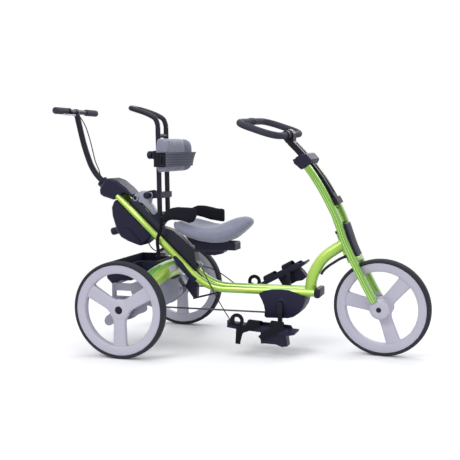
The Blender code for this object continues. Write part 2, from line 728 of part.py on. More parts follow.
def build_carrier(name, sign):
    """Cast hub carrier: plate round the axle with a window, from the beam down to the brake arm."""
    hub = (0.0, WHEEL_R)
    outline = [(-0.055, 0.306), (0.030, 0.306), (0.060, 0.318), (0.115, 0.322), (0.128, 0.290), (0.112, 0.258),
               (0.090, 0.226), (0.102, 0.205), (0.094, 0.190), (0.060, 0.178), (0.036, 0.160), (0.0, 0.150),
               (-0.034, 0.158), (-0.062, 0.126), (-0.082, 0.122), (-0.097, 0.138), (-0.090, 0.160),
               (-0.060, 0.182), (-0.056, 0.240)]
    y0, y1 = sign * CARRIER_IN, sign * CARRIER_OUT
    plate = prism(name, rounded(outline, 0.006, 1), min(y0, y1), max(y0, y1), CASTING)
    window = [(-0.040, 0.252), (0.040, 0.252), (0.030, 0.276), (-0.040, 0.276)]
    cut(plate, prism(name + "_window", window, min(y0, y1) - 0.01, max(y0, y1) + 0.01, CASTING))
    inner = Vector((hub[0], sign * (CARRIER_IN - 0.016), hub[1]))
    boss = rod(name + "_boss", inner, (hub[0], sign * (CARRIER_OUT - 0.002), hub[1]), 0.026, CASTING, 20)
    weld(plate, boss)
    bore = rod(name + "_bore", (hub[0], y0 - sign * 0.03, hub[1]), (hub[0], y1 + sign * 0.01, hub[1]),
               AXLE_R + RUN_GAP, CASTING, 24)
    return cut(plate, bore)


def build_axle_housing():
    """Cast bearing housing for the axle beside the sprocket, bolted under the beam."""
    corners = [(-0.030, 0.178), (-0.012, 0.166), (0.072, 0.166), (0.114, 0.197), (0.150, 0.226), (0.152, 0.250),
               (0.136, 0.268), (0.124, 0.292), (0.067, 0.292), (0.059, BIN_FLOOR_Z - 0.004),
               (-0.018, BIN_FLOOR_Z - 0.008), (-0.030, 0.245)]
    pieces = []
    for sign in (-1, 1):
        y0, y1 = sorted((sign * 0.022, sign * 0.060))
        name = "axle_housing" if sign < 0 else "axle_housing_left"
        pieces.append(prism(name, rounded(corners, 0.006, 1), y0, y1, CASTING))
    bridge = block("housing_bridge", (0.062, -0.030, 0.268), (0.118, 0.030, 0.2915), CASTING)
    body = weld(pieces[0], pieces[1], bridge)
    bore = rod("housing_bore", (0, -0.08, WHEEL_R), (0, 0.08, WHEEL_R), AXLE_R + RUN_GAP, CASTING, 24)
    return cut(body, beam("housing_saddle", 0.1, SEAT_GAP), bore)


def chain_loop(radius_gap):
    """The chain's loop round both toothed wheels, as (x, z) points."""
    front_r, rear_r = CHAINRING_R + radius_gap, SPROCKET_R + radius_gap
    lean = math.degrees(math.asin((front_r - rear_r) / CRANK_X))
    rise = math.degrees(math.atan2(CRANK_Z - WHEEL_R, CRANK_X))
    rear = arc((0, WHEEL_R), rear_r, 90 + lean + rise, 270 - lean + rise, 10)
    front = arc((CRANK_X, CRANK_Z), front_r, -90 - lean + rise, 90 + lean + rise, 10)
    return rear + front


def build_chain():
    """Roller chain as a plain belt from the chainring to the axle's sprocket."""
    half = CHAIN_W / 2
    belt = prism("chain", chain_loop(RUN_GAP + CHAIN_T), -half, half, STEEL)
    return cut(belt, prism("chain_inside", chain_loop(RUN_GAP), -half - 0.01, half + 0.01, STEEL))


def case_outline():
    """Outline of the chain case, as (x, z) points."""
    return [(0.509, 0.2437), (0.534, 0.2585), (0.5706, 0.2663), (0.6096, 0.2683), (0.6435, 0.2655), (0.6840, 0.2530),
            (0.7085, 0.2380), (0.7120, 0.2240), (0.7040, 0.1960), (0.6860, 0.1680), (0.6620, 0.1516),
            (0.6383, 0.1455), (0.5453, 0.1424), (0.5356, 0.1492), (0.5384, 0.1731), (0.5337, 0.1971),
            (0.5236, 0.2207)]


def build_chain_case():
    """Chain case: a hollow shell under the main tubes, with a crank bearing and a boss on each side."""
    shell = soften(prism("chain_case", case_outline(), -CASE_HALF, CASE_HALF, BLACK), 0.005)
    centre_x = sum(x for x, _ in case_outline()) / len(case_outline())
    centre_z = sum(z for _, z in case_outline()) / len(case_outline())
    shrink = 1 - CASE_WALL / 0.062
    hollow = [(centre_x + (x - centre_x) * shrink, centre_z + (z - centre_z) * shrink) for x, z in case_outline()]
    deep = CASE_HALF - CASE_WALL
    cut(shell, prism("case_hollow", hollow, -deep, deep, BLACK))
    wide = CASE_HALF + 0.03
    cut(shell, rod("case_bore", (CRANK_X, -wide, CRANK_Z), (CRANK_X, wide, CRANK_Z), SPINDLE_R + 0.008, BLACK, 14))
    seat_r, bearing_r = SPINDLE_R + 0.002 + RUN_GAP, 0.017
    collar = [(SPINDLE_R + 0.004, 0), (0.030, 0), (0.021, 0.011), (SPINDLE_R + 0.004, 0.011)]
    for sign in (-1, 1):
        bearing = ring(f"case_bearing_{sign}", (CRANK_X, sign * 0.013, CRANK_Z),
                       (CRANK_X, sign * (CASE_HALF - 0.001), CRANK_Z), seat_r, bearing_r, BLACK, 14)
        boss = turned(f"case_boss_{sign}", collar, (CRANK_X, sign * (CASE_HALF - 0.0015), CRANK_Z), (0, sign, 0), 18,
                      BLACK)
        weld(shell, bearing, boss)
    way = block("case_chain_way", (0.50, -0.012, 0.1385), (0.56, 0.012, 0.162), BLACK)
    high_way = block("case_chain_way_up", (0.49, -0.012, 0.244), (0.59, 0.012, 0.285), BLACK)
    tubes = twin_tubes("case_tube", BEND_S + 0.3, TUBE_FRONT_X, MAIN_R + SEAT_GAP)
    return cut(shell, way, high_way, *tubes)


def build_crankset():
    """Crank axle, chainring and the two arms, opposite each other."""
    axle_r = SPINDLE_R + 0.002
    arm_out = CRANK_IN + CRANK_T
    profile = [(0, -arm_out + 0.002), (axle_r, -arm_out + 0.002), (axle_r, -0.011), (0.018, -0.011),
               (0.018, -0.003), (CHAINRING_R, -0.003), (CHAINRING_R, 0.003), (0.018, 0.003), (0.018, 0.011),
               (axle_r, 0.011), (axle_r, arm_out - 0.002), (0, arm_out - 0.002)]
    crank = turned("crankset", profile, (CRANK_X, 0, CRANK_Z), (0, 1, 0), 20, BLACK)
    for sign in (-1, 1):
        tip_z = CRANK_Z + sign * CRANK_L
        line = [(CRANK_X - 0.011, CRANK_Z - sign * 0.006), (CRANK_X, CRANK_Z - sign * 0.014),
                (CRANK_X + 0.011, CRANK_Z - sign * 0.006), (CRANK_X + 0.008, tip_z + sign * 0.004),
                (CRANK_X, tip_z + sign * 0.011), (CRANK_X - 0.008, tip_z + sign * 0.004)]
        y0, y1 = sorted((sign * CRANK_IN, sign * arm_out))
        arm = prism(f"crank_arm_{sign}", line, y0, y1, BLACK)
        spindle = rod(f"pedal_spindle_{sign}", (CRANK_X, sign * (CRANK_IN + 0.002), tip_z),
                      (CRANK_X, sign * (FOOT_Y + 0.030), tip_z), SPINDLE_R, BLACK, 12)
        weld(crank, arm, spindle)
    return pivot(crank, Vector((CRANK_X, 0, CRANK_Z)))


def foot_frame(sign):
    """Spindle point and turn of a footplate: the right one hangs low, the left one is up."""
    at = Vector((CRANK_X, sign * FOOT_Y, CRANK_Z + sign * CRANK_L))
    lean = math.radians(RIGHT_FOOT_DEG if sign < 0 else LEFT_FOOT_DEG)
    return at, Matrix.Rotation(-lean, 4, 'Y')


def place_foot(made, sign):
    """Turn a piece that was modelled level round the spindle, and put its origin there."""
    at, turn = foot_frame(sign)
    made.data.transform(turn)
    made.location = at
    return made


def build_footplate(name, sign):
    """Sole plate with side walls, bearing block and heel stop, modelled level about the spindle."""
    half = FOOT_W / 2
    toe = FOOT_L - FOOT_BACK
    top = FOOT_TOP
    sole = [(-FOOT_BACK, top - FOOT_T + 0.004), (-FOOT_BACK + 0.05, top - FOOT_T), (toe - 0.02, top - FOOT_T),
            (toe, top - FOOT_T + 0.006), (toe, top), (-FOOT_BACK + 0.008, top), (-FOOT_BACK + 0.006, top + 0.020),
            (-FOOT_BACK, top + 0.020)]
    plate = prism(name, sole, -half, half, BLACK)
    keel = prism(name + "_keel", [(-0.064, top - 0.006), (0.040, top - 0.006), (0.050, -0.022), (0.0544, -0.048),
                                  (0.0313, -0.0535), (0.005, -0.046), (-0.045, -0.048), (-0.0597, -0.0505)],
                 -0.022, 0.022, BLACK)
    weld(plate, keel)
    for side in (-1, 1):
        y0, y1 = sorted((side * (half - 0.005), side * (half + 0.001)))
        wall = prism(f"{name}_wall_{side}", [(-0.130, top - 0.004), (0.060, top - 0.004), (0.050, top + 0.012),
                                             (-0.112, top + 0.012)], y0, y1, BLACK)
        weld(plate, wall)
    bore = rod(name + "_bore", (0, -half - 0.03, 0), (0, half + 0.03, 0), SPINDLE_R + RUN_GAP, BLACK, 16)
    cut(plate, bore)
    place_foot(plate, sign)
    for step in plate.modifiers:
        place_foot(step.object, sign)
    return plate


def strap_arch(name, x0, x1, rise, thick=0.003):
    """A strap over the foot from wall to wall."""
    half = FOOT_W / 2
    base = FOOT_TOP + SEAT_GAP
    outer, inner = [], []
    for k in range(9):
        angle = math.pi * k / 8
        outer.append((half - 0.0055 - SEAT_GAP) * math.cos(angle))
        inner.append(rise * math.sin(angle) ** 0.7)
    ring_points = [(y, base + z) for y, z in zip(outer, inner)]
    shrink = [(y * (1 - thick / half), base + max(0.0, z - thick)) for y, z in zip(outer, inner)]
    ends = [(shrink[0][0], base), *shrink[1:-1], (shrink[-1][0], base)]
    loop = ring_points + list(reversed(ends))
    bm = bmesh.new()
    face = bm.faces.new([bm.verts.new((x0, y, z)) for y, z in loop])
    moved = bmesh.ops.extrude_face_region(bm, geom=[face])
    verts = [item for item in moved["geom"] if isinstance(item, bmesh.types.BMVert)]
    bmesh.ops.translate(bm, verts=verts, vec=(x1 - x0, 0, 0))
    return finish(bm, name, WEB)


def build_foot_straps(name, sign):
    """Ankle and toe straps and the heel loop, joined by the band along the sole's edge."""
    straps = strap_arch(name, -0.124, -0.072, 0.023)
    toe = strap_arch(name + "_toe", -0.026, 0.022, 0.030)
    low = FOOT_TOP + SEAT_GAP
    loop_r, hole_r, loop_x, loop_z = 0.030, 0.015, -FOOT_BACK + 0.040, FOOT_TOP + 0.022
    start = math.degrees(math.asin((loop_z - low) / loop_r))
    edge = -(FOOT_W / 2 - 0.0055 - SEAT_GAP)
    heel = prism(name + "_heel", arc((loop_x, loop_z), loop_r, -start, 180 + start, 14), edge + 0.0002, edge + 0.004,
                 WEB)
    hole = prism(name + "_hole", arc((loop_x, loop_z), hole_r, 0, 360, 12)[:-1], edge - 0.02, edge + 0.03, WEB)
    band = block(name + "_band", (loop_x + 0.010, edge + 0.0004, low + 0.0002), (0.040, edge + 0.0036, low + 0.004),
                 WEB)
    tab_x0, tab_x1, edge_out = loop_x + 0.002, loop_x + 0.023, -(FOOT_W / 2 + 0.0045)
    fold = block(name + "_fold", (tab_x0, edge_out, low + 0.0004), (tab_x1, edge + 0.002, low + 0.0034), WEB)
    tab = block(name + "_tab", (tab_x0, edge_out, -0.058), (tab_x1, edge_out + 0.003, low + 0.0030), WEB)
    weld(straps, toe, band, cut(heel, hole), fold, tab)
    place_foot(straps, sign)
    for part in (toe, band, heel, hole, fold, tab):
        place_foot(part, sign)
    return straps


def blade_outline():
    """Rear and front edges of a fork blade, from its top to the dropout."""
    rear = [(0.713, 0.776), (0.741, 0.738), (0.776, 0.683), (0.806, 0.628), (0.832, 0.576), (0.849, 0.530),
            (0.866, 0.480), (0.888, 0.430), (0.912, 0.380), (0.940, 0.325), (0.966, 0.275), (0.994, 0.226)]
    points = []
    for i, place in enumerate(rear):
        before = rear[max(i - 1, 0)]
        after = rear[min(i + 1, len(rear) - 1)]
        along = (Vector(after) - Vector(before)).normalized()
        points.append((place[0] - along.y * BLADE_D, place[1] + along.x * BLADE_D))
    return rear, points


def build_fork():
    """Two curved blades, joined by an upper and a lower bridge with the steerer between them."""
    rear, front = blade_outline()
    loop = rear + list(reversed(front))
    right = soften(prism("fork", loop, -BLADE_IN - BLADE_T, -BLADE_IN, LIME), 0.004)
    left = soften(prism("fork_left", loop, BLADE_IN, BLADE_IN + BLADE_T, LIME), 0.004)
    span = BLADE_IN + 0.004
    crown_up = [(0.838, 0.6185), (0.8625, 0.610), (0.8885, 0.5545), (0.868, 0.5405), (0.8385, 0.5405),
                (0.820, 0.5905)]
    crown_low = [(0.870, 0.3990), (0.930, 0.4210), (0.949, 0.414), (0.955, 0.398), (0.926, 0.3905), (0.886, 0.3855),
                 (0.872, 0.388)]
    up = prism("crown_upper", crown_up, -span, span, LIME)
    low = prism("crown_lower", crown_low, -span, span, LIME)
    steerer = rod("steerer", HEAD_MID - HEAD_UP * STEERER_LOW, HEAD_MID + HEAD_UP * STEERER_UP, STEERER_R, LIME)
    return pivot(weld(right, left, up, low, steerer), HEAD_MID)


def build_fork_cover():
    """Black front cover between the blades, in front of the head tube."""
    outline = [(0.9015, 0.5495), (0.912, 0.520), (0.929, 0.470), (0.946, 0.430), (0.9505, 0.419), (0.922, 0.430),
               (0.908, 0.4395), (0.8965, 0.470), (0.8855, 0.505), (0.878, 0.538), (0.8905, 0.5530)]
    half = BLADE_IN - SEAT_GAP
    return pivot(prism("fork_cover", outline, -half, half, BLACK), HEAD_MID)


def build_dropouts():
    """Cast dropouts inside the blades' ends, with the front axle between them."""
    y_in = FRONT_HUB_HALF + SWING_GAP / 2
    axle = rod("fork_dropouts", (FRONT.x, -BLADE_IN - 0.012, FRONT.z), (FRONT.x, BLADE_IN + 0.012, FRONT.z),
               AXLE_R, CASTING, 16)
    tongue = [(FRONT.x - 0.019, FRONT.z), (0.988, 0.240), (0.992, 0.264), (1.016, 0.254),
              (FRONT.x + 0.017, FRONT.z + 0.006), (FRONT.x, FRONT.z - 0.018)]
    for sign in (-1, 1):
        disc = rod(f"dropout_{sign}", (FRONT.x, sign * y_in, FRONT.z),
                   (FRONT.x, sign * (BLADE_IN + 0.016), FRONT.z), DROPOUT_R, CASTING, 20)
        y0, y1 = sorted((sign * (y_in + 0.001), sign * (BLADE_IN - SEAT_GAP)))
        weld(axle, disc, prism(f"dropout_ear_{sign}", tongue, y0, y1, CASTING))
    return pivot(axle, HEAD_MID)


# Stem: a curved bar that slides between the blades on an arc
ARC_R = 0.950


def stem_centre():
    """Centre of the arc that the stem and the blades' upper part follow."""
    top = Vector((0.640, 0, 0.885))
    low = Vector((0.838, 0, 0.625))
    chord = low - top
    mid = (top + low) / 2
    height = math.sqrt(ARC_R ** 2 - (chord.length / 2) ** 2)
    side = Vector((chord.z, 0, -chord.x)).normalized()
    return mid + side * height, top, low


STEM_CENTRE, STEM_TOP, STEM_LOW = stem_centre()


def stem_arc(radius, start, end, steps=8):
    """Points on the stem's arc between two angles in degrees."""
    return arc((STEM_CENTRE.x, STEM_CENTRE.z), radius, start, end, steps)


STEM_TOP_DEG = math.degrees(math.atan2(STEM_TOP.z - STEM_CENTRE.z, STEM_TOP.x - STEM_CENTRE.x))
STEM_LOW_DEG = math.degrees(math.atan2(STEM_LOW.z - STEM_CENTRE.z, STEM_LOW.x - STEM_CENTRE.x))


LOOP_AT = Vector((LOOP_FRONT_X, 0, LOOP_FRONT_Z))


def stem_band(start, end, depth, half_w, name, made_of, steps=8):
    """A slice of the stem's curve between two angles, of a given half depth and half width."""
    outline = stem_arc(ARC_R + depth, start, end, steps) + list(reversed(stem_arc(ARC_R - depth, start, end, steps)))
    return prism(name, outline, -half_w, half_w, made_of)


def build_stem():
    """Curved stem bar with its foot block between the blades and the handlebar's clamp at its top."""
    bar = stem_band(STEM_TOP_DEG, STEM_LOW_DEG + 0.2, STEM_D / 2, STEM_W / 2, "stem", BLACK)
    foot = stem_band(STEM_LOW_DEG + 1.8, STEM_LOW_DEG, STEM_D / 2 + 0.006, BLADE_IN - SEAT_GAP, "stem_foot", BLACK, 2)
    deep = ARC_R + STEM_D / 2
    groove = stem_arc(deep + 0.01, STEM_TOP_DEG - 1, STEM_LOW_DEG + 3) + \
        list(reversed(stem_arc(deep - 0.004, STEM_TOP_DEG - 1, STEM_LOW_DEG + 3)))
    cut(bar, prism("stem_groove", groove, -0.007, 0.007, BLACK))
    clamp_line = [(0.636, 0.872), (0.654, 0.886), (0.6555, 0.903), (0.6555, 0.921), (0.646, 0.934), (0.632, 0.939),
                  (0.617, 0.934), (0.608, 0.921), (0.609, 0.903), (0.619, 0.886)]
    clamp = prism("handlebar_clamp", clamp_line, -0.017, 0.017, BLACK)
    side = Vector((0, 0.05, 0))
    bore = rod("handlebar_bore", LOOP_AT - side, LOOP_AT + side, LOOP_R + SEAT_GAP, BLACK, 24)
    return pivot(cut(weld(bar, foot, clamp), bore), HEAD_MID)


def build_stem_clamp():
    """Clamp on the blades' tops that the stem slides through."""
    rear, front = blade_outline()
    along = (Vector(rear[0]) - Vector(rear[1])).normalized() * SEAT_GAP
    end_rear, end_front = Vector(rear[0]) + along, Vector(front[0]) + along
    outline = [(0.666, 0.798), (0.675, 0.823), (0.700, 0.837), (0.722, 0.839), (0.746, 0.812), tuple(end_front),
               tuple(end_rear), (0.702, 0.784)]
    half = BLADE_IN + BLADE_T
    body = soften(prism("stem_clamp", outline, -half, half, BLACK), 0.004)
    way = stem_band(STEM_TOP_DEG, 34, STEM_D / 2 + SEAT_GAP, STEM_W / 2 + SEAT_GAP, "stem_way", BLACK, 5)
    return pivot(cut(body, way), HEAD_MID)


CAM_AT = Vector((0.6605, 0, 0.8045))


def build_cam_lever():
    """Cam lever that locks the stem's clamp."""
    outline = [(0.6500, 0.8120), (0.6570, 0.8160), (0.6650, 0.7985), (0.6715, 0.7952), (0.6945, 0.7863),
               (0.6965, 0.7780), (0.6870, 0.7710), (0.6560, 0.7960)]
    return pivot(prism("cam_lever", outline, -0.016, 0.016, BLACK), CAM_AT)


def handlebar_points():
    """Centre line of the handlebar's closed loop."""
    lean = math.radians(LOOP_SLOPE_DEG)
    back = Vector((-math.cos(lean), 0, math.sin(lean)))
    corners = [(-LOOP_HALF_W, 0.0), (LOOP_HALF_W, 0.0), (LOOP_HALF_W, LOOP_L), (-LOOP_HALF_W, LOOP_L)]
    points = []
    for y, v in rounded(corners, LOOP_CORNER, 6):
        points.append(LOOP_AT + back * v + Vector((0, y, 0)))
    return points, back.cross(Vector((0, 1, 0))).normalized()


def build_handlebar():
    """Closed loop of padded tube."""
    points, normal = handlebar_points()
    bm = bmesh.new()
    rows = []
    count, sides = len(points), 12
    for i, place in enumerate(points):
        forward = (points[(i + 1) % count] - points[i - 1]).normalized()
        side = forward.cross(normal).normalized()
        row = []
        for k in range(sides):
            angle = math.tau * k / sides
            row.append(bm.verts.new(place + (side * math.cos(angle) + normal * math.sin(angle)) * LOOP_R))
        rows.append(row)
    for i in range(count):
        low, high = rows[i], rows[(i + 1) % count]
        for k in range(sides):
            j = (k + 1) % sides
            bm.faces.new((low[k], low[j], high[j], high[k]))
    return pivot(finish(bm, "handlebar", BLACK), LOOP_AT)


def bin_block(name, grow, top):
    """The bin's outer form, or its hollow when grow is minus its wall."""
    rear, nose, low = BIN_REAR_X - grow, BIN_NOSE_X + grow, BIN_FLOOR_Z - grow
    outline = [(rear, top), (-0.1345 - grow, 0.306 - grow * 0.4), (-0.103 - grow * 0.1, BIN_TROUGH_Z - grow * 1.32),
               (-0.070 + grow * 0.33, low), (nose, low), (nose, top)]
    half, nose_half = BIN_HALF_W + grow, BIN_NOSE_HALF + grow
    form = prism(name, outline, -half, half, BLACK)
    for sign in (-1, 1):
        y0, y1 = sorted((sign * nose_half, sign * 0.4))
        cut(form, block(f"{name}_side_{sign}", (BIN_FRONT_X + grow, y0, 0.2), (0.2, y1, 0.5), BLACK))
    return form


def build_bin():
    """Open storage bin behind the rear beam, with a trough at its back and a nose that rests against the beam."""
    return cut(bin_block("storage_bin", 0, BIN_TOP_Z), bin_block("bin_hollow", -BIN_WALL, BIN_TOP_Z + 0.02))


def build_linkage_cable():
    """Cable from the mechanism's housing to the clamp on the beam."""
    knots = [slope(0.2323, -0.050, -0.030), slope(0.262, -0.056, -0.034), slope(0.290, -0.050, -0.038),
             Vector((0.0609, -0.038, 0.4125))]
    return tube("linkage_cable", smooth_path(knots, 3), CABLE_R, CORD, 1)


def build_front_cable():
    """Thick cable from the neck to the lower head cup."""
    knots = [Vector((0.7700, 0, 0.3300)), Vector((0.7790, 0, 0.3450)), Vector((0.7985, 0, 0.3640)),
             Vector((0.8260, 0, 0.3830)), Vector((0.8480, 0, 0.3972)), Vector((0.8653, 0, 0.4056))]
    return tube("front_cable", smooth_path(knots, 3), 0.0034, CORD, 1)


CORD_TOP = (0.2365, 0.010, 0.342)
LOW_CORD = [(0.262, 0.036, 0.312), (0.300, 0.062, 0.262), (0.345, 0.082, 0.200), (0.388, 0.092, 0.140),
            (0.4051, 0.096, 0.130)]
HIGH_CORD = [(0.262, 0.036, 0.332), (0.300, 0.068, 0.304), (0.345, 0.084, 0.268), (0.384, 0.092, 0.238),
             (0.4050, 0.096, 0.2300), (0.4188, 0.097, 0.2368)]


def build_levelling_cord(name, sign, route):
    """Elastic cord from the track's front end to the heel of a footplate."""
    knots = [Vector((x, sign * y, z)) for x, y, z in [CORD_TOP, *route]]
    return tube(name, smooth_path(knots, 3), CABLE_R, CORD, 1)


# Backrest
TILT_AT = Vector((0.053, 0, TILT_Z))
ANGLE_BOLT_AT = Vector((-0.010, 0, 0.658))
ANGLE_BOLT_R = 0.004
BRACKET_T = 0.004
TONGUE_HALF = 0.009
TILT_BAR_R = 0.010
CLAMP_Z = 0.660
PAD_KNOB_Z = 0.836


def build_backrest_bracket():
    """Silver bracket astride the track, with the bolt hole for the backrest's angle."""
    line = [(0.049, 0.030), (0.0525, 0.0624), (0.0587, 0.0849), (0.080, 0.108), (0.104, 0.104), (0.1346, 0.0674),
            (0.168, 0.0509), (0.168, 0.030)]
    half = TRACK_W / 2 + SEAT_GAP + BRACKET_T
    body = prism("backrest_bracket", [slope_xz(s, t) for s, t in line], -half, half, CASTING)
    channel = [(0.02, 0.0), (0.02, TRACK_TOP_T + SEAT_GAP), (0.2, TRACK_TOP_T + SEAT_GAP), (0.2, 0.0)]
    cut(body, prism("bracket_channel", [slope_xz(s, t) for s, t in channel], -TRACK_W / 2 - SEAT_GAP,
                    TRACK_W / 2 + SEAT_GAP, CASTING))
    gap_half = TONGUE_HALF + RUN_GAP
    inside = [(0.02, 0.051), (0.02, 0.2), (0.2, 0.2), (0.2, 0.051)]
    cut(body, prism("bracket_gap", [slope_xz(s, t) for s, t in inside], -gap_half, gap_half, CASTING))
    bolt = Vector((0, 0.06, 0))
    return cut(body, rod("bolt_hole", ANGLE_BOLT_AT - bolt, ANGLE_BOLT_AT + bolt, ANGLE_BOLT_R + SEAT_GAP,
                         CASTING, 12))


def build_backrest_base():
    """Block on the track that carries the backrest's hinge."""
    line = [(0.170, 0.0453), (0.2275, 0.0453), (0.2225, 0.080), (0.212, 0.0915), (0.190, 0.0915), (0.178, 0.080)]
    body = prism("backrest_base", [slope_xz(s, t) for s, t in line], -0.028, 0.028, BLACK)
    side = Vector((0, 0.06, 0))
    return cut(body, rod("tilt_bore", TILT_AT - side, TILT_AT + side, TILT_BAR_R + SEAT_GAP, BLACK, 20))


def build_uprights():
    """Two bent uprights joined by the hinge bar, the crosspiece and the U-shaped end."""
    knots = [(UPRIGHT_X, TILT_Z - 0.006), (UPRIGHT_X - 0.001, 0.76), (UPRIGHT_X - 0.002, UPRIGHT_BEND_Z),
             (0.046, 0.988), (0.032, 1.002), (-0.006, 1.020), (-0.054, 1.036)]
    side = [Vector((x, UPRIGHT_Y, z)) for x, z in knots]
    end = [Vector((-0.076, 0.036, 1.042)), Vector((-0.084, 0.016, 1.045))]
    points = side + end
    points += [Vector((p.x, -p.y, p.z)) for p in reversed(points)]
    loop = tube("backrest_uprights", points, UPRIGHT_R, BLACK, 3)
    hinge = rod("tilt_bar", (TILT_AT.x, -UPRIGHT_Y - 0.014, TILT_Z), (TILT_AT.x, UPRIGHT_Y + 0.014, TILT_Z),
                TILT_BAR_R, BLACK, 14)
    cross = rod("crosspiece", (UPRIGHT_X - 0.002, -UPRIGHT_Y, 0.920), (UPRIGHT_X - 0.002, UPRIGHT_Y, 0.920), 0.009,
                BLACK, 12)
    return pivot(weld(loop, hinge, cross), TILT_AT)


def build_upright_clamp():
    """Cross clamp on the uprights with a tongue whose curved slot takes the angle bolt."""
    body = block("upright_clamp", (UPRIGHT_X - 0.015, -0.062, CLAMP_Z - 0.013),
                 (UPRIGHT_X + 0.014, 0.062, CLAMP_Z + 0.013), BLACK)
    outline = [(0.046, 0.650), (0.046, 0.668), (0.010, 0.681), (-0.012, 0.677), (-0.032, 0.662), (-0.035, 0.646),
               (-0.022, 0.637), (0.002, 0.642)]
    weld(body, prism("tongue", outline, -TONGUE_HALF, TONGUE_HALF, BLACK))
    reach = ANGLE_BOLT_AT - TILT_AT
    radius, mid = reach.length, math.degrees(math.atan2(reach.z, reach.x))
    wide = ANGLE_BOLT_R + RUN_GAP
    slot = arc((TILT_AT.x, TILT_AT.z), radius + wide, mid - 9, mid + 9, 6) + \
        list(reversed(arc((TILT_AT.x, TILT_AT.z), radius - wide, mid - 9, mid + 9, 6)))
    cut(body, prism("tongue_slot", slot, -0.03, 0.03, BLACK))
    for sign in (-1, 1):
        at = Vector((UPRIGHT_X - 0.0005, sign * UPRIGHT_Y, CLAMP_Z))
        lift = Vector((0, 0, 0.05))
        cut(body, rod(f"upright_bore_{sign}", at - lift, at + lift, UPRIGHT_R + 0.0008, BLACK, 16))
    return pivot(body, TILT_AT)


def build_angle_knob():
    """Star knob and bolt that lock the backrest's angle."""
    plate = TRACK_W / 2 + SEAT_GAP + BRACKET_T
    profile = [(0, 0), (0.016, 0), (0.017, 0.005), (0.015, 0.017), (0.008, 0.020), (0, 0.020)]
    knob = turned("angle_knob", profile, ANGLE_BOLT_AT - Vector((0, plate + SEAT_GAP, 0)), (0, -1, 0), 14, BLACK)
    bolt = rod("angle_bolt", ANGLE_BOLT_AT - Vector((0, plate + 0.005, 0)), ANGLE_BOLT_AT + Vector((0, plate, 0)),
               ANGLE_BOLT_R, BLACK, 10)
    return pivot(weld(knob, bolt), ANGLE_BOLT_AT)


def cushion_ring(centre, normal, half_t, low, high, power=0.55, count=14):
    """A closed pad section: half_t to each side along normal, from low to high."""
    mid, half_h = (low + high) / 2, (high - low) / 2
    points = []
    for k in range(count):
        angle = math.tau * (k + 0.5) / count
        c, s = math.cos(angle), math.sin(angle)
        aside = normal * half_t * math.copysign(abs(c) ** power, c)
        points.append(centre + aside + Vector((0, 0, mid + half_h * math.copysign(abs(s) ** power, s))))
    return points


def build_back_pad():
    """Padded back support, a shallow curve in plan whose ends reach forward."""
    half = [(0.1415, -0.1325, 0.007, 0.792, 0.878), (0.135, -0.1345, 0.013, 0.772, 0.897),
            (0.122, -0.1355, 0.0165, 0.761, 0.908), (0.107, -0.1345, 0.018, 0.757, 0.912),
            (0.0965, -0.1260, 0.0185, 0.756, 0.913), (0.0950, -0.1060, 0.0185, 0.756, 0.914),
            (0.1000, -0.074, 0.018, 0.756, 0.914), (0.100, -0.034, 0.018, 0.756, 0.914)]
    stations = half + [(0.100, 0.0, 0.018, 0.756, 0.914)] + [(x, -y, t, a, b) for x, y, t, a, b in reversed(half)]
    rings = []
    for i, (x, y, t, low, high) in enumerate(stations):
        before, after = stations[max(i - 1, 0)], stations[min(i + 1, len(stations) - 1)]
        forward = Vector((after[0] - before[0], after[1] - before[1], 0)).normalized()
        rings.append(cushion_ring(Vector((x, y, 0)), forward.cross(Vector((0, 0, 1))), t, low, high))
    return loft("back_pad", rings, PAD)


STRAP_T = 0.0025
CHEST_STRAP = [
    # x of the top edge, x of the bottom edge, y
    (0.080, 0.080, -0.1547), (0.107, 0.107, -0.1552), (0.128, 0.128, -0.1545), (0.146, 0.144, -0.1450),
    (0.166, 0.156, -0.1180), (0.184, 0.168, -0.0720), (0.192, 0.174, -0.0240), (0.192, 0.174, 0.0240),
    (0.184, 0.168, 0.0720), (0.166, 0.156, 0.1180), (0.146, 0.144, 0.1450), (0.128, 0.128, 0.1545),
    (0.107, 0.107, 0.1552), (0.080, 0.080, 0.1547)]


def build_chest_strap():
    """Wide strap round the ends of the back pad and across the rider's front."""
    rings = []
    for i, (x_top, x_low, y) in enumerate(CHEST_STRAP):
        before, after = CHEST_STRAP[max(i - 1, 0)], CHEST_STRAP[min(i + 1, len(CHEST_STRAP) - 1)]
        forward = Vector((after[0] - before[0], after[2] - before[2], 0)).normalized()
        aside = forward.cross(Vector((0, 0, 1))) * STRAP_T / 2
        top, low = Vector((x_top, y, 0.8475)), Vector((x_low, y, 0.7860))
        rings.append([top + aside, low + aside, low - aside, top - aside])
    return loft("chest_strap", rings, WEB)


def build_pad_bracket():
    """Clamp that holds the back pad on the uprights."""
    front = UPRIGHT_X - 0.0015 + UPRIGHT_R + SEAT_GAP
    plate = block("pad_bracket", (front, -0.062, 0.800), (0.0817, 0.062, 0.866), BLACK)
    behind = block("pad_clamp", (0.034, -0.058, PAD_KNOB_Z - 0.019),
                   (UPRIGHT_X - 0.002 - UPRIGHT_R - SEAT_GAP, 0.058, PAD_KNOB_Z + 0.019), BLACK)
    stub = block("pad_stub", (0.0093, -0.013, PAD_KNOB_Z - 0.013), (0.072, 0.013, PAD_KNOB_Z + 0.013), BLACK)
    return weld(plate, behind, stub)


def build_pad_knob():
    """Knob behind the uprights that locks the pad's height."""
    profile = [(0, 0), (0.010, 0), (0.018, 0.004), (0.018, 0.020), (0.014, 0.0245), (0, 0.0245)]
    at = Vector((0.0090, 0, PAD_KNOB_Z))
    return pivot(turned("pad_knob", profile, at, (-1, 0, 0), 14, BLACK), at)


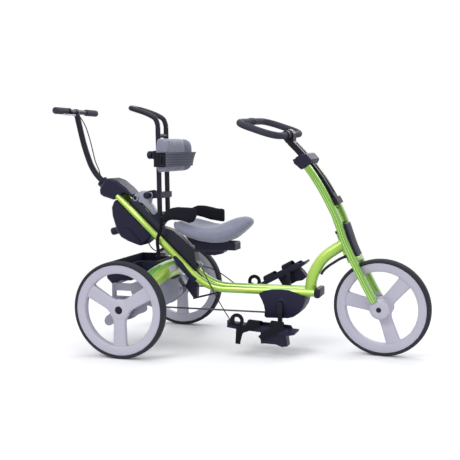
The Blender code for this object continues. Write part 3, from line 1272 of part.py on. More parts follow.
# Seat
CARRIAGE_T = 0.005
ARM_TOP_Z = BOX_Z0 - SEAT_GAP
SEAT_STATIONS = (
    # x, half width, low edge, low middle, top edge, top middle
    (0.136, 0.086, 0.534, 0.530, 0.558, 0.555),
    (0.144, 0.118, 0.520, 0.512, 0.5645, 0.553),
    (0.164, 0.137, 0.507, 0.497, 0.5640, 0.541),
    (0.207, 0.142, 0.489, 0.480, 0.550, 0.526),
    (0.255, 0.142, 0.475, 0.466, 0.534, 0.521),
    (0.305, 0.138, 0.468, 0.4583, 0.524, 0.524),
    (0.350, 0.122, 0.466, 0.4583, 0.524, 0.541),
    (0.395, 0.096, 0.490, 0.476, 0.538, 0.562),
    (0.430, 0.070, 0.512, 0.504, 0.556, 0.576),
    (0.458, 0.048, 0.530, 0.528, 0.562, 0.573),
    (0.470, 0.028, 0.543, 0.542, 0.560, 0.564),
)


def build_seat_carriage():
    """Saddle that clamps on the track, with the arm under the seat's box."""
    line = [(0.2325, 0.0190), (0.2300, 0.0418), (0.2832, 0.0695), (0.3441, 0.0736), (0.4115, 0.0783),
            (0.4543, 0.045), (0.478, 0.034), (0.478, 0.0190)]
    half = TRACK_W / 2 + SEAT_GAP + CARRIAGE_T
    body = prism("seat_carriage", [slope_xz(s, t) for s, t in line], -half, half, ANODISED)
    arm = block("seat_arm", (0.172, -half + 0.001, 0.4115), (0.345, half - 0.001, ARM_TOP_Z), ANODISED)
    channel = [(0.20, -0.02), (0.20, TRACK_TOP_T + SEAT_GAP), (0.56, TRACK_TOP_T + SEAT_GAP), (0.56, -0.02)]
    weld(body, arm)
    return cut(body, prism("carriage_channel", [slope_xz(s, t) for s, t in channel], -TRACK_W / 2 - SEAT_GAP,
                           TRACK_W / 2 + SEAT_GAP, ANODISED))


def build_seat_box():
    """Slide box under the cushion."""
    line = [(BOX_X0, BOX_Z0), (BOX_X1, BOX_Z0), (BOX_X1, BOX_Z1 - 0.006), (BOX_X1 - 0.006, BOX_Z1), (BOX_X0, BOX_Z1)]
    return prism("seat_box", line, -BOX_HALF_W, BOX_HALF_W, BLACK)


def cushion_row(station):
    """Closed section of the cushion, in the plane across it at one station."""
    x, wide, low_edge, low_mid, top_edge, top_mid = station
    count = 20
    row = []
    mid = (low_edge + top_edge) / 2
    for k in range(count):
        angle = math.tau * (k + 0.5) / count
        c, s = math.cos(angle), math.sin(angle)
        share = math.copysign(abs(c) ** 0.7, c)
        edge, middle = (top_edge, top_mid) if s > 0 else (low_edge, low_mid)
        reach = middle + (edge - middle) * min(abs(share) * 1.08, 1) ** 2.4
        row.append(Vector((x, wide * share, mid + (reach - mid) * abs(s) ** 0.45)))
    return row


def build_seat_cushion():
    """Moulded saddle-like cushion: wide and dished behind, with a raised nose."""
    return loft("seat_cushion", [cushion_row(station) for station in SEAT_STATIONS], PAD)


def cushion_top(station, y):
    """Height of the cushion's top at one station, y from its middle."""
    row = cushion_row(station)
    upper = sorted((point.y, point.z) for point in row[:len(row) // 2])
    for (y0, z0), (y1, z1) in zip(upper, upper[1:]):
        if y0 <= y <= y1:
            return z0 + (z1 - z0) * (y - y0) / (y1 - y0)
    return upper[0][1]


def build_seat_lever():
    """Lever under the box that frees the seat's slide."""
    line = [(0.252, 0.4085), (0.257, 0.4110), (0.333, 0.4110), (0.334, 0.4050), (0.300, 0.397), (0.252, 0.399)]
    return pivot(prism("seat_lever", line, -0.016, 0.016, BLACK), Vector((0.257, 0, 0.405)))


HIP_Y = 0.125
RIGHT_HIP = (
    # x, half thickness, low edge, high edge
    (0.099, 0.006, 0.553, 0.572), (0.106, 0.011, 0.548, 0.586), (0.124, 0.012, 0.551, 0.603),
    (0.145, 0.012, 0.5572, 0.613), (0.170, 0.012, 0.5568, 0.6175), (0.200, 0.012, 0.553, 0.617),
    (0.225, 0.012, 0.546, 0.6165), (0.250, 0.011, 0.556, 0.6135), (0.262, 0.006, 0.577, 0.610))
LEFT_HIP = (
    (0.120, 0.006, 0.562, 0.578), (0.135, 0.012, 0.5573, 0.594), (0.170, 0.012, 0.5568, 0.6075),
    (0.200, 0.012, 0.550, 0.608), (0.229, 0.012, 0.5415, 0.604), (0.260, 0.012, 0.5385, 0.598),
    (0.292, 0.012, 0.534, 0.5935), (0.3005, 0.011, 0.533, 0.592))


def build_hip_pad(name, sign, stations):
    """Long padded hip belt along the seat's side, with a foot that stands on the cushion."""
    rings = []
    for x, t, low, high in stations:
        rings.append(cushion_ring(Vector((x, sign * HIP_Y, 0)), Vector((0, 1, 0)), t, low, high, 0.6, 12))
    belt = loft(name, rings, WEB)
    y_in, y_out = HIP_Y - 0.011, HIP_Y - 0.004
    under = [(row[0], max(cushion_top(row, y_in), cushion_top(row, y_out)) + 2 * SEAT_GAP)
             for row in SEAT_STATIONS[2:5]]
    over = [(under[-1][0], 0.562), (under[0][0], 0.570)]
    y0, y1 = sorted((sign * y_in, sign * y_out))
    return weld(belt, prism(name + "_foot", under + over, y0, y1, WEB))


def build_hip_strap():
    """Webbing strap that hangs from the near hip pad."""
    line = [(0.0985, 0.568), (0.090, 0.548), (0.078, 0.525), (0.064, 0.499), (0.0525, 0.463), (0.055, 0.419),
            (0.059, 0.388)]
    thick = 0.002
    outline = line + [(x - thick, z) for x, z in reversed(line)]
    bm = bmesh.new()
    rows = []
    for x, z in outline:
        drop = min(max((line[0][1] - z) / 0.06, 0), 1)
        y = -HIP_Y + 0.056 * drop
        rows.append((bm.verts.new((x, y - 0.0075, z)), bm.verts.new((x, y + 0.0075, z))))
    count = len(rows)
    for i in range(count):
        j = (i + 1) % count
        bm.faces.new((rows[i][0], rows[j][0], rows[j][1], rows[i][1]))
    for k in range(count // 2 - 1):
        for side in (0, 1):
            corners = [rows[k][side], rows[k + 1][side], rows[count - 2 - k][side], rows[count - 1 - k][side]]
            bm.faces.new(corners)
    return finish(bm, "hip_strap", WEB)


STEERED = ("fork", "fork_cover", "fork_dropouts", "stem", "stem_clamp", "cam_lever", "handlebar", "front_rim",
           "front_tyre")


def settle(made):
    """Keep a piece's finished shape and let go of the steps and cutters that made it."""
    shape = made.evaluated_get(bpy.context.evaluated_depsgraph_get())
    made.data = bpy.data.meshes.new_from_object(shape)
    operands = [step.object for step in made.modifiers if step.type == 'BOOLEAN']
    made.modifiers.clear()
    for operand in operands:
        bpy.data.objects.remove(operand)


def turn_steering():
    """Turn the fork and all it carries a little to the rider's right, about the head tube's axis."""
    turn = Matrix.Rotation(math.radians(STEER_DEG), 4, HEAD_UP)
    for name in STEERED:
        made = bpy.data.objects[name]
        settle(made)
        made.data.transform(turn)
        made.location = HEAD_MID + turn.to_3x3() @ (made.location - HEAD_MID)


def main():
    build_main_frame()
    build_end_cap()
    build_head_cup("head_cup_lower", -1)
    build_head_cup("head_cup_upper", 1)
    build_track()
    build_dome_cover()
    build_mechanism_housing()
    build_side_knob()
    build_push_tube()
    build_push_grip("push_grip_right", -1)
    build_push_grip("push_grip_left", 1)
    build_brake_lever()
    build_brake_cable()
    build_wheels()
    build_rear_axle()
    build_rear_beam()
    build_beam_clamp()
    build_carrier("hub_carrier_right", -1)
    build_carrier("hub_carrier_left", 1)
    build_axle_housing()
    build_chain()
    build_chain_case()
    build_crankset()
    build_footplate("footplate_right", -1)
    build_footplate("footplate_left", 1)
    build_foot_straps("foot_straps_right", -1)
    build_foot_straps("foot_straps_left", 1)
    build_fork()
    build_fork_cover()
    build_dropouts()
    build_stem()
    build_stem_clamp()
    build_cam_lever()
    build_handlebar()
    build_bin()
    build_linkage_cable()
    build_front_cable()
    build_levelling_cord("levelling_cord_right", -1, LOW_CORD)
    build_levelling_cord("levelling_cord_left", 1, HIGH_CORD)
    build_backrest_bracket()
    build_backrest_base()
    build_uprights()
    build_upright_clamp()
    build_angle_knob()
    build_back_pad()
    build_chest_strap()
    build_pad_bracket()
    build_pad_knob()
    build_seat_carriage()
    build_seat_box()
    build_seat_cushion()
    build_seat_lever()
    build_hip_pad("hip_pad_right", -1, RIGHT_HIP)
    build_hip_pad("hip_pad_left", 1, LEFT_HIP)
    build_hip_strap()
    turn_steering()
    for made in bpy.data.objects:
        if made.parent is None:
            made.location.x += LAYOUT_X


main()
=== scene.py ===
"""Adaptive tricycle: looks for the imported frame, laid out as an add-on and run as a script.

Metres, +Z up, +X forward, +Y to the rider's left. Lengthwise places are given from the rear axle, and at()
turns them into the frame's own coordinates.
"""
import math

import bmesh
import bpy
from bpy.props import FloatProperty, FloatVectorProperty, IntProperty, PointerProperty
from mathutils import Matrix, Vector


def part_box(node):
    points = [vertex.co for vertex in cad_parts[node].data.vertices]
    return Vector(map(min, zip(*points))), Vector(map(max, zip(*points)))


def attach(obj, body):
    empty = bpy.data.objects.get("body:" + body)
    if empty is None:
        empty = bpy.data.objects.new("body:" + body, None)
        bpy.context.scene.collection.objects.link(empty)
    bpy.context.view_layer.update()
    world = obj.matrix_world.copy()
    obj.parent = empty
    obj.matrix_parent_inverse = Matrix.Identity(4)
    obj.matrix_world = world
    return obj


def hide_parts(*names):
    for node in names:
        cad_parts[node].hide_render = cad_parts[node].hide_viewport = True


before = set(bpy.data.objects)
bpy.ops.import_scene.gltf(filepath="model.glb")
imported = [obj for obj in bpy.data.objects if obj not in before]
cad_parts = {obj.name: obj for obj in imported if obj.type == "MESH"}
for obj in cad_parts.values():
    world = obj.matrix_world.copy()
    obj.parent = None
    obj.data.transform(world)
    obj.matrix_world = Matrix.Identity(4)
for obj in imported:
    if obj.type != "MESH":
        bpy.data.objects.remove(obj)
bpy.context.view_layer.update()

bl_info = {
    "name": "Adaptive Tricycle",
    "version": (1, 0, 0),
    "blender": (4, 5, 0),
    "location": "View3D > Sidebar > Tricycle",
    "description": "Finishes and fine pieces for an adaptive tricycle",
    "category": "Object",
}


def box_middle(node):
    low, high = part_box(node)
    return (Vector(low) + Vector(high)) / 2


AXLE = box_middle("rear_tyre_right")
AXLE_LEFT = box_middle("rear_tyre_left")
FRONT_AXLE = box_middle("front_tyre")
SHIFT = AXLE.x
WHEEL_R = (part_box("rear_tyre_right")[1][2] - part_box("rear_tyre_right")[0][2]) / 2


def at(x, y, z):
    """A point given from the rear axle, in the frame's coordinates."""
    return Vector((x + SHIFT, y, z))


SLOPE = math.radians(43.6)
ALONG = Vector((math.cos(SLOPE), 0, -math.sin(SLOPE)))
ACROSS = Vector((math.sin(SLOPE), 0, math.cos(SLOPE)))
RAIL_TOP = at(-0.145, 0, 0.648)


STEER = math.radians(-7.0)
HEAD_TILT = math.radians(20.0)
HEAD_UP = Vector((-math.sin(HEAD_TILT), 0, math.cos(HEAD_TILT)))
HEAD_MID = at(0.868, 0, 0.464)
STEERED = Matrix.Rotation(STEER, 3, HEAD_UP)


def steered(point):
    """A point of the fork and what it carries, turned with the steering about the head tube."""
    return HEAD_MID + STEERED @ (Vector(point) - HEAD_MID)


def slope(s, t, y=0.0):
    """A point s along the sloping rails and t above their centre line."""
    return RAIL_TOP + ALONG * s + ACROSS * t + Vector((0, y, 0))


def linear(hex_colour):
    """An sRGB hex colour as linear red, green and blue."""
    channels = [int(hex_colour[i:i + 2], 16) / 255 for i in (1, 3, 5)]
    return [c / 12.92 if c <= 0.04045 else ((c + 0.055) / 1.055) ** 2.4 for c in channels]


class TrikeFinish(bpy.types.PropertyGroup):
    """Colours of the tricycle's finishes."""
    lime: FloatVectorProperty(name="Frame", description="Powder coat of the frame and beam", subtype='COLOR',
                              default=linear("#93BE3E"), min=0, max=1)
    # The fork's default colour is a darker copy of the frame's lime: painted shade on the blades' faces.
    fork: FloatVectorProperty(name="Fork", description="Powder coat of the fork's blades", subtype='COLOR',
                              default=linear("#6BA038"), min=0, max=1)
    black: FloatVectorProperty(name="Moulded parts", description="Dark moulded ABS", subtype='COLOR',
                               default=linear("#1B1A31"), min=0, max=1)
    wheel: FloatVectorProperty(name="Wheels", description="Glass-filled nylon of the wheels", subtype='COLOR',
                               default=linear("#ADABB9"), min=0, max=1)
    tyre: FloatVectorProperty(name="Tyres", description="Rubber of the tyres", subtype='COLOR',
                              default=linear("#2B2B33"), min=0, max=1)
    pad: FloatVectorProperty(name="Pads", description="Stretch knit over the seat and the back pad",
                             subtype='COLOR', default=linear("#7B7D8F"), min=0, max=1)
    casting: FloatVectorProperty(name="Castings", description="Painted aluminium castings", subtype='COLOR',
                                 default=linear("#9294A2"), min=0, max=1)


class TrikeSizes(bpy.types.PropertyGroup):
    """Sizes of the fine pieces."""
    wheel_steps: IntProperty(name="Wheel steps", description="Steps round a wheel", default=96, min=48, max=192)
    tread_step: FloatProperty(name="Tread pitch", description="Distance between the tread's grooves",
                              default=0.0062, min=0.003, max=0.02, unit='LENGTH')
    knit_step: FloatProperty(name="Knit pitch", description="Distance between the pad cover's stitches",
                             default=0.0022, min=0.001, max=0.006, unit='LENGTH')
    web_step: FloatProperty(name="Webbing pitch", description="Distance between the webbing's ribs",
                            default=0.0018, min=0.001, max=0.006, unit='LENGTH')
    tube_sides: IntProperty(name="Tube sides", description="Sides of a round tube", default=28, min=12, max=64)
    lamp_level: FloatProperty(name="Lamp level", description="Brightness of the studio lamps", default=1.0,
                              min=0.1, max=4.0)


def finishes():
    return bpy.context.scene.trike_finish


def sizes():
    return bpy.context.scene.trike_sizes


MADE = {}


def add(tree, kind, settings=(), **inputs):
    """Add a node, set its settings, and give its inputs values or links by name."""
    made = tree.nodes.new(kind)
    for key, value in dict(settings).items():
        setattr(made, key, value)
    for key, value in inputs.items():
        place = made.inputs[int(key[1:])] if key[0] == "i" and key[1:].isdigit() else \
            made.inputs[key.replace("_", " ")]
        if isinstance(value, bpy.types.NodeSocket):
            tree.links.new(value, place)
        else:
            place.default_value = value
    return made


def coat(name, colour, roughness, metallic=0.0, **sockets):
    """Start a material from its shader's own values. Returns it with its tree, shader and coordinates."""
    made = bpy.data.materials.new(name)
    made.use_nodes = True
    tree = made.node_tree
    shader = tree.nodes["Principled BSDF"]
    shader.inputs["Base Color"].default_value = (*colour, 1)
    shader.inputs["Roughness"].default_value = roughness
    shader.inputs["Metallic"].default_value = metallic
    for key, value in sockets.items():
        shader.inputs[key.replace("_", " ")].default_value = value
    coords = add(tree, "ShaderNodeTexCoord").outputs["Object"]
    MADE[name] = made
    return tree, shader, coords


def vary(tree, shader, factor, colour, dark, light):
    """Lead a pattern into the base colour, from a darker to a lighter share of it."""
    ramp = add(tree, "ShaderNodeValToRGB", Fac=factor)
    ramp.color_ramp.elements[0].color = (*[c * dark for c in colour], 1)
    ramp.color_ramp.elements[1].color = (*[min(1, c * light) for c in colour], 1)
    tree.links.new(ramp.outputs["Color"], shader.inputs["Base Color"])
    return ramp


def rough(tree, shader, factor, low, high):
    """Lead a pattern into the roughness."""
    spread = add(tree, "ShaderNodeMapRange", Value=factor, To_Min=low, To_Max=high)
    tree.links.new(spread.outputs["Result"], shader.inputs["Roughness"])


def emboss(tree, shader, height, strength, distance):
    """Lead a pattern into the shader's normal."""
    bump = add(tree, "ShaderNodeBump", Height=height, Strength=strength, Distance=distance)
    tree.links.new(bump.outputs["Normal"], shader.inputs["Normal"])


def powder_coat(name, colour, painted_light_share):
    """Polyester powder coat over steel: lime, with painted light and shade set by the height of the object-space
    normal: a painted highlight band on the upper sides, a painted dark green reflection on faces that point up, and
    painted shade on faces that point down.
    """
    tree, shader, coords = coat(name, colour, 0.30, 0.25, Coat_Weight=0.8, Coat_Roughness=0.08)
    # Painted light: a ramp over the height of the object-space normal paints highlight, reflection and shade bands
    # into the colour.
    place = add(tree, "ShaderNodeTexCoord").outputs["Normal"]
    parts = add(tree, "ShaderNodeSeparateXYZ", Vector=place)
    share = add(tree, "ShaderNodeMapRange", Value=parts.outputs["Z"], From_Min=-1.0, From_Max=1.0)
    ramp = add(tree, "ShaderNodeValToRGB", Fac=share.outputs["Result"])
    painted_light_stops = ((0.0, "#6F9A2A"), (0.30, "#8DB83A"), (0.55, "#A9CE48"), (0.70, "#C6E25E"), (0.80, "#DFF08A"),
             (0.88, "#A4D050"), (0.96, "#4F9F45"))
    bands = ramp.color_ramp
    bands.elements[0].position, bands.elements[1].position = painted_light_stops[0][0], painted_light_stops[-1][0]
    for spot, _ in painted_light_stops[1:-1]:
        bands.elements.new(spot)
    for band, (_, shade) in zip(bands.elements, painted_light_stops):
        band.color = (*linear(shade), 1)
    # The last argument sets how much of the painted highlight and shade bands is mixed over the plain colour.
    painted_light_mix = add(tree, "ShaderNodeMix", {"data_type": 'RGBA', "blend_type": 'MIX'})
    painted_light_mix.inputs[0].default_value = painted_light_share
    painted_light_mix.inputs[6].default_value = (*colour, 1)
    tree.links.new(ramp.outputs["Color"], painted_light_mix.inputs[7])
    shade = add(tree, "ShaderNodeTexNoise", Vector=coords, Scale=7.0, Detail=3.0)
    deeper = add(tree, "ShaderNodeMapRange", Value=shade.outputs["Fac"], To_Min=0.92, To_Max=1.06)
    final = add(tree, "ShaderNodeMix", {"data_type": 'RGBA', "blend_type": 'MULTIPLY'})
    final.inputs[0].default_value = 1.0
    tree.links.new(painted_light_mix.outputs[2], final.inputs[6])
    tree.links.new(deeper.outputs["Result"], final.inputs[7])
    tree.links.new(final.outputs[2], shader.inputs["Base Color"])
    peel = add(tree, "ShaderNodeTexNoise", Vector=coords, Scale=400.0, Detail=2.0)
    rough(tree, shader, shade.outputs["Fac"], 0.24, 0.36)
    emboss(tree, shader, peel.outputs["Fac"], 0.02, 0.0003)


def moulded_plastic(name, colour, roughness, grain=0.0009, depth=0.00012):
    """Injection moulded ABS with a spark-eroded grain, so that its highlights are broad and soft."""
    tree, shader, coords = coat(name, colour, roughness, Specular_IOR_Level=0.2)
    fine = add(tree, "ShaderNodeTexNoise", Vector=coords, Scale=1 / grain, Detail=2.0)
    cloud = add(tree, "ShaderNodeTexNoise", Vector=coords, Scale=14.0, Detail=3.0)
    vary(tree, shader, cloud.outputs["Fac"], colour, 0.88, 1.12)
    rough(tree, shader, cloud.outputs["Fac"], roughness - 0.07, roughness + 0.08)
    emboss(tree, shader, fine.outputs["Fac"], 0.35, depth)


def foam_grip():
    """Closed-cell foam over the handlebar and the grips: dull, with pores about 1.5 mm wide."""
    colour = linear("#2E2F3B")
    tree, shader, coords = coat("foam_grip", colour, 0.72, Specular_IOR_Level=0.25)
    cells = add(tree, "ShaderNodeTexVoronoi", Vector=coords, Scale=700.0)
    cloud = add(tree, "ShaderNodeTexNoise", Vector=coords, Scale=40.0, Detail=4.0)
    vary(tree, shader, cloud.outputs["Fac"], colour, 0.82, 1.2)
    emboss(tree, shader, cells.outputs["Distance"], 0.4, 0.0003)


def anodised_aluminium():
    """Extruded aluminium, dark anodised: drawn lines run down the slope and shine along them."""
    colour = linear("#30313D")
    tree, shader, coords = coat("dark_anodised_aluminium", colour, 0.38, 0.75)
    turned = add(tree, "ShaderNodeMapping", Vector=coords, Rotation=(0, -SLOPE, 0), Scale=(6.0, 900.0, 900.0))
    lines = add(tree, "ShaderNodeTexNoise", Vector=turned.outputs["Vector"], Scale=1.0, Detail=3.0)
    vary(tree, shader, lines.outputs["Fac"], colour, 0.85, 1.15)
    rough(tree, shader, lines.outputs["Fac"], 0.30, 0.46)
    emboss(tree, shader, lines.outputs["Fac"], 0.12, 0.0002)


def cast_aluminium():
    """Sand-cast aluminium under silver-grey paint: a soft sheen over grains about 1.2 mm wide."""
    colour = tuple(finishes().casting)
    tree, shader, coords = coat("cast_aluminium", colour, 0.45, 0.35)
    sand = add(tree, "ShaderNodeTexNoise", Vector=coords, Scale=820.0, Detail=3.0)
    cloud = add(tree, "ShaderNodeTexNoise", Vector=coords, Scale=22.0, Detail=3.0)
    vary(tree, shader, cloud.outputs["Fac"], colour, 0.86, 1.1)
    rough(tree, shader, cloud.outputs["Fac"], 0.38, 0.55)
    emboss(tree, shader, sand.outputs["Fac"], 0.3, 0.0003)


def nylon_wheel():
    """Glass-filled nylon, moulded: pale grey-lilac, with faint flow marks and a satin surface."""
    colour = tuple(finishes().wheel)
    tree, shader, coords = coat("glass_filled_nylon", colour, 0.45, IOR=1.53)
    flow = add(tree, "ShaderNodeTexNoise", Vector=coords, Scale=12.0, Detail=4.0, Distortion=1.2)
    fine = add(tree, "ShaderNodeTexNoise", Vector=coords, Scale=900.0, Detail=1.0)
    vary(tree, shader, flow.outputs["Fac"], colour, 0.94, 1.05)
    rough(tree, shader, flow.outputs["Fac"], 0.38, 0.52)
    emboss(tree, shader, fine.outputs["Fac"], 0.2, 0.0002)


def tyre_rubber(name, axle, turned=0.0):
    """Vulcanised rubber: nearly black and dull, with fine slanted tread grooves cut round the tyre."""
    colour = tuple(finishes().tyre)
    tree, shader, coords = coat(name, colour, 0.78, Specular_IOR_Level=0.2)
    place = add(tree, "ShaderNodeVectorMath", {"operation": 'SUBTRACT'}, i0=coords, i1=tuple(axle))
    level = add(tree, "ShaderNodeVectorRotate", {"rotation_type": 'AXIS_ANGLE'}, Vector=place.outputs["Vector"],
                Axis=tuple(HEAD_UP), Angle=-turned)
    parts = add(tree, "ShaderNodeSeparateXYZ", Vector=level.outputs["Vector"])
    turn = add(tree, "ShaderNodeMath", {"operation": 'ARCTAN2'}, i0=parts.outputs["Z"], i1=parts.outputs["X"])
    grooves = round(math.tau * WHEEL_R / sizes().tread_step)
    count = add(tree, "ShaderNodeMath", {"operation": 'MULTIPLY'}, i0=turn.outputs[0], i1=float(grooves))
    side = add(tree, "ShaderNodeMath", {"operation": 'ABSOLUTE'}, i0=parts.outputs["Y"])
    slant = add(tree, "ShaderNodeMath", {"operation": 'MULTIPLY'}, i0=side.outputs[0], i1=900.0)
    phase = add(tree, "ShaderNodeMath", i0=count.outputs[0], i1=slant.outputs[0])
    wave = add(tree, "ShaderNodeMath", {"operation": 'SINE'}, i0=phase.outputs[0])
    tread = add(tree, "ShaderNodeMath", {"operation": 'LESS_THAN'}, i0=side.outputs[0], i1=0.0175)
    cut = add(tree, "ShaderNodeMath", {"operation": 'MULTIPLY'}, i0=wave.outputs[0], i1=tread.outputs[0])
    grit = add(tree, "ShaderNodeTexNoise", Vector=coords, Scale=500.0, Detail=2.0)
    dust = add(tree, "ShaderNodeTexNoise", Vector=coords, Scale=16.0, Detail=4.0)
    vary(tree, shader, dust.outputs["Fac"], colour, 0.8, 1.25)
    height = add(tree, "ShaderNodeMath", i0=cut.outputs[0], i1=grit.outputs["Fac"])
    emboss(tree, shader, height.outputs[0], 0.6, 0.0006)


def stretch_knit():
    """Polyester stretch knit over foam: grey with rows of stitches, and a soft sheen at grazing angles."""
    colour = tuple(finishes().pad)
    tree, shader, coords = coat("stretch_knit", colour, 0.82, Sheen_Weight=0.35, Sheen_Roughness=0.4)
    step = math.tau / sizes().knit_step
    rows = add(tree, "ShaderNodeMapping", Vector=coords, Scale=(step, step, step))
    axes = add(tree, "ShaderNodeSeparateXYZ", Vector=rows.outputs["Vector"])
    across = add(tree, "ShaderNodeMath", i0=axes.outputs["X"], i1=axes.outputs["Y"])
    weft = add(tree, "ShaderNodeMath", {"operation": 'SINE'}, i0=across.outputs[0])
    warp = add(tree, "ShaderNodeMath", {"operation": 'SINE'}, i0=axes.outputs["Z"])
    knit = add(tree, "ShaderNodeMath", {"operation": 'MULTIPLY'}, i0=weft.outputs[0], i1=warp.outputs[0])
    cloud = add(tree, "ShaderNodeTexNoise", Vector=coords, Scale=18.0, Detail=5.0)
    vary(tree, shader, cloud.outputs["Fac"], colour, 0.84, 1.14)
    emboss(tree, shader, knit.outputs[0], 0.28, 0.0004)


def webbing(name, colour):
    """Woven nylon webbing: dull black with ribs across the strap and a thread of the same pitch along it."""
    tree, shader, coords = coat(name, colour, 0.8, Specular_IOR_Level=0.12)
    step = math.tau / sizes().web_step
    rows = add(tree, "ShaderNodeMapping", Vector=coords, Scale=(step, step, step))
    axes = add(tree, "ShaderNodeSeparateXYZ", Vector=rows.outputs["Vector"])
    lean = add(tree, "ShaderNodeMath", i0=axes.outputs["X"], i1=axes.outputs["Z"])
    rib = add(tree, "ShaderNodeMath", {"operation": 'SINE'}, i0=lean.outputs[0])
    thread = add(tree, "ShaderNodeMath", {"operation": 'SINE'}, i0=axes.outputs["Y"])
    weave = add(tree, "ShaderNodeMath", i0=rib.outputs[0], i1=thread.outputs[0])
    shade = add(tree, "ShaderNodeMapRange", Value=weave.outputs[0], From_Min=-2.0, From_Max=2.0)
    vary(tree, shader, shade.outputs["Result"], colour, 0.7, 1.35)
    emboss(tree, shader, weave.outputs[0], 0.4, 0.0004)


def steel(name, colour, roughness, scale):
    """Zinc-plated or polished steel with fine rubbed marks."""
    tree, shader, coords = coat(name, colour, roughness, 1.0)
    marks = add(tree, "ShaderNodeTexNoise", Vector=coords, Scale=scale, Detail=4.0)
    vary(tree, shader, marks.outputs["Fac"], colour, 0.8, 1.15)
    rough(tree, shader, marks.outputs["Fac"], roughness - 0.08, roughness + 0.12)


def braided_cord():
    """Braided sleeve over cable or elastic: black with crossing strands about 1.5 mm apart."""
    colour = linear("#23232B")
    tree, shader, coords = coat("braided_cord", colour, 0.62, Specular_IOR_Level=0.2)
    weave = add(tree, "ShaderNodeTexVoronoi", Vector=coords, Scale=620.0)
    vary(tree, shader, weave.outputs["Distance"], colour, 1.25, 0.75)
    emboss(tree, shader, weave.outputs["Distance"], 0.5, 0.0004)


def belt_web():
    """Chest belt: near-black webbing beside the pad, and a lighter grey striped weave across the chest."""
    dark, light = linear("#17171F"), linear("#585966")
    tree, shader, coords = coat("striped_webbing", dark, 0.8, Specular_IOR_Level=0.15)
    parts = add(tree, "ShaderNodeSeparateXYZ", Vector=coords)
    start = at(0.132, 0, 0).x
    front = add(tree, "ShaderNodeMapRange", Value=parts.outputs["X"], From_Min=start, From_Max=start + 0.004)
    turn = add(tree, "ShaderNodeMath", {"operation": 'MULTIPLY'}, i0=parts.outputs["Z"], i1=math.tau / 0.0105)
    wave = add(tree, "ShaderNodeMath", {"operation": 'SINE'}, i0=turn.outputs[0])
    share = add(tree, "ShaderNodeMapRange", Value=wave.outputs[0], From_Min=-0.4, From_Max=0.4, To_Min=0.75,
                To_Max=1.15)
    striped = add(tree, "ShaderNodeMix", {"data_type": 'RGBA', "blend_type": 'MULTIPLY'})
    striped.inputs[0].default_value = 1.0
    striped.inputs[6].default_value = (*light, 1)
    tree.links.new(share.outputs["Result"], striped.inputs[7])
    both = add(tree, "ShaderNodeMix", {"data_type": 'RGBA', "blend_type": 'MIX'})
    both.inputs[6].default_value = (*dark, 1)
    tree.links.new(striped.outputs[2], both.inputs[7])
    tree.links.new(front.outputs["Result"], both.inputs[0])
    tree.links.new(both.outputs[2], shader.inputs["Base Color"])
    weave = add(tree, "ShaderNodeTexNoise", Vector=coords, Scale=900.0, Detail=2.0)
    emboss(tree, shader, weave.outputs["Fac"], 0.4, 0.0003)


def bare_label():
    """Polyester label with nothing printed on it: silver-grey, a little glossy."""
    tree, shader, coords = coat("bare_label", linear("#C9CAD6"), 0.32)
    cloud = add(tree, "ShaderNodeTexNoise", Vector=coords, Scale=60.0, Detail=2.0)
    vary(tree, shader, cloud.outputs["Fac"], linear("#C9CAD6"), 0.93, 1.05)
    rough(tree, shader, cloud.outputs["Fac"], 0.26, 0.4)


CARRIED = {
    "lime_powder_coat": ["main_frame", "rear_axle_beam", "fork"],
    "dark_anodised_aluminium": ["track_rail", "seat_carriage"],
    "cast_aluminium": ["hub_carrier_left", "hub_carrier_right", "axle_housing"],
    "polished_steel": ["rear_axle", "brake_lever"],
    "chain_steel": ["chain"],
    "braided_cord": ["brake_cable", "linkage_cable", "front_cable", "levelling_cord_left", "levelling_cord_right"],
    "glass_filled_nylon": ["rear_rim_right", "rear_rim_left", "front_rim", "fork_dropouts"],
    "stretch_knit": ["seat_cushion", "back_pad"],
    "black_webbing": ["hip_pad_left", "hip_pad_right", "hip_strap", "chest_strap", "foot_straps_left",
                      "foot_straps_right"],
    "foam_grip": ["handlebar", "push_grip_left", "push_grip_right"],
    "satin_black_paint": ["backrest_uprights", "push_tube", "crankset", "stem"],
}


class TRIKE_OT_finishes(bpy.types.Operator):
    """Make the materials and give them to the nodes that are carried over."""
    bl_idname = "trike.finishes"
    bl_label = "Finishes"

    def execute(self, context):
        # The last argument of each call is the share of painted highlight and shade bands over the plain colour.
        powder_coat("lime_powder_coat", tuple(finishes().lime), 0.65)
        # The fork's coat is the frame's lime made darker as painted shade, with a smaller share of the painted
        # bands.
        powder_coat("lime_powder_coat_shaded_copy", tuple(finishes().fork), 0.2)
        moulded_plastic("moulded_abs", tuple(finishes().black), 0.46)
        moulded_plastic("satin_black_paint", linear("#181726"), 0.38, 0.0016, 0.00006)
        moulded_plastic("black_polyamide", linear("#161522"), 0.5)
        foam_grip()
        anodised_aluminium()
        cast_aluminium()
        nylon_wheel()
        tyre_rubber("tyre_rubber_right", AXLE)
        tyre_rubber("tyre_rubber_left", AXLE_LEFT)
        tyre_rubber("tyre_rubber_front", FRONT_AXLE, STEER)
        stretch_knit()
        webbing("black_webbing", linear("#15151D"))
        belt_web()
        steel("polished_steel", linear("#B4B4BE"), 0.26, 90.0)
        steel("chain_steel", linear("#55555F"), 0.42, 400.0)
        braided_cord()
        bare_label()
        given = {node: name for name, nodes in CARRIED.items() for node in nodes}
        given.update({"rear_tyre_right": "tyre_rubber_right", "rear_tyre_left": "tyre_rubber_left",
                      "front_tyre": "tyre_rubber_front"})
        for name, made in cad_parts.items():
            finish = MADE[given.get(name, "moulded_abs")]
            for slot in made.material_slots:
                slot.material = finish
        return {'FINISHED'}


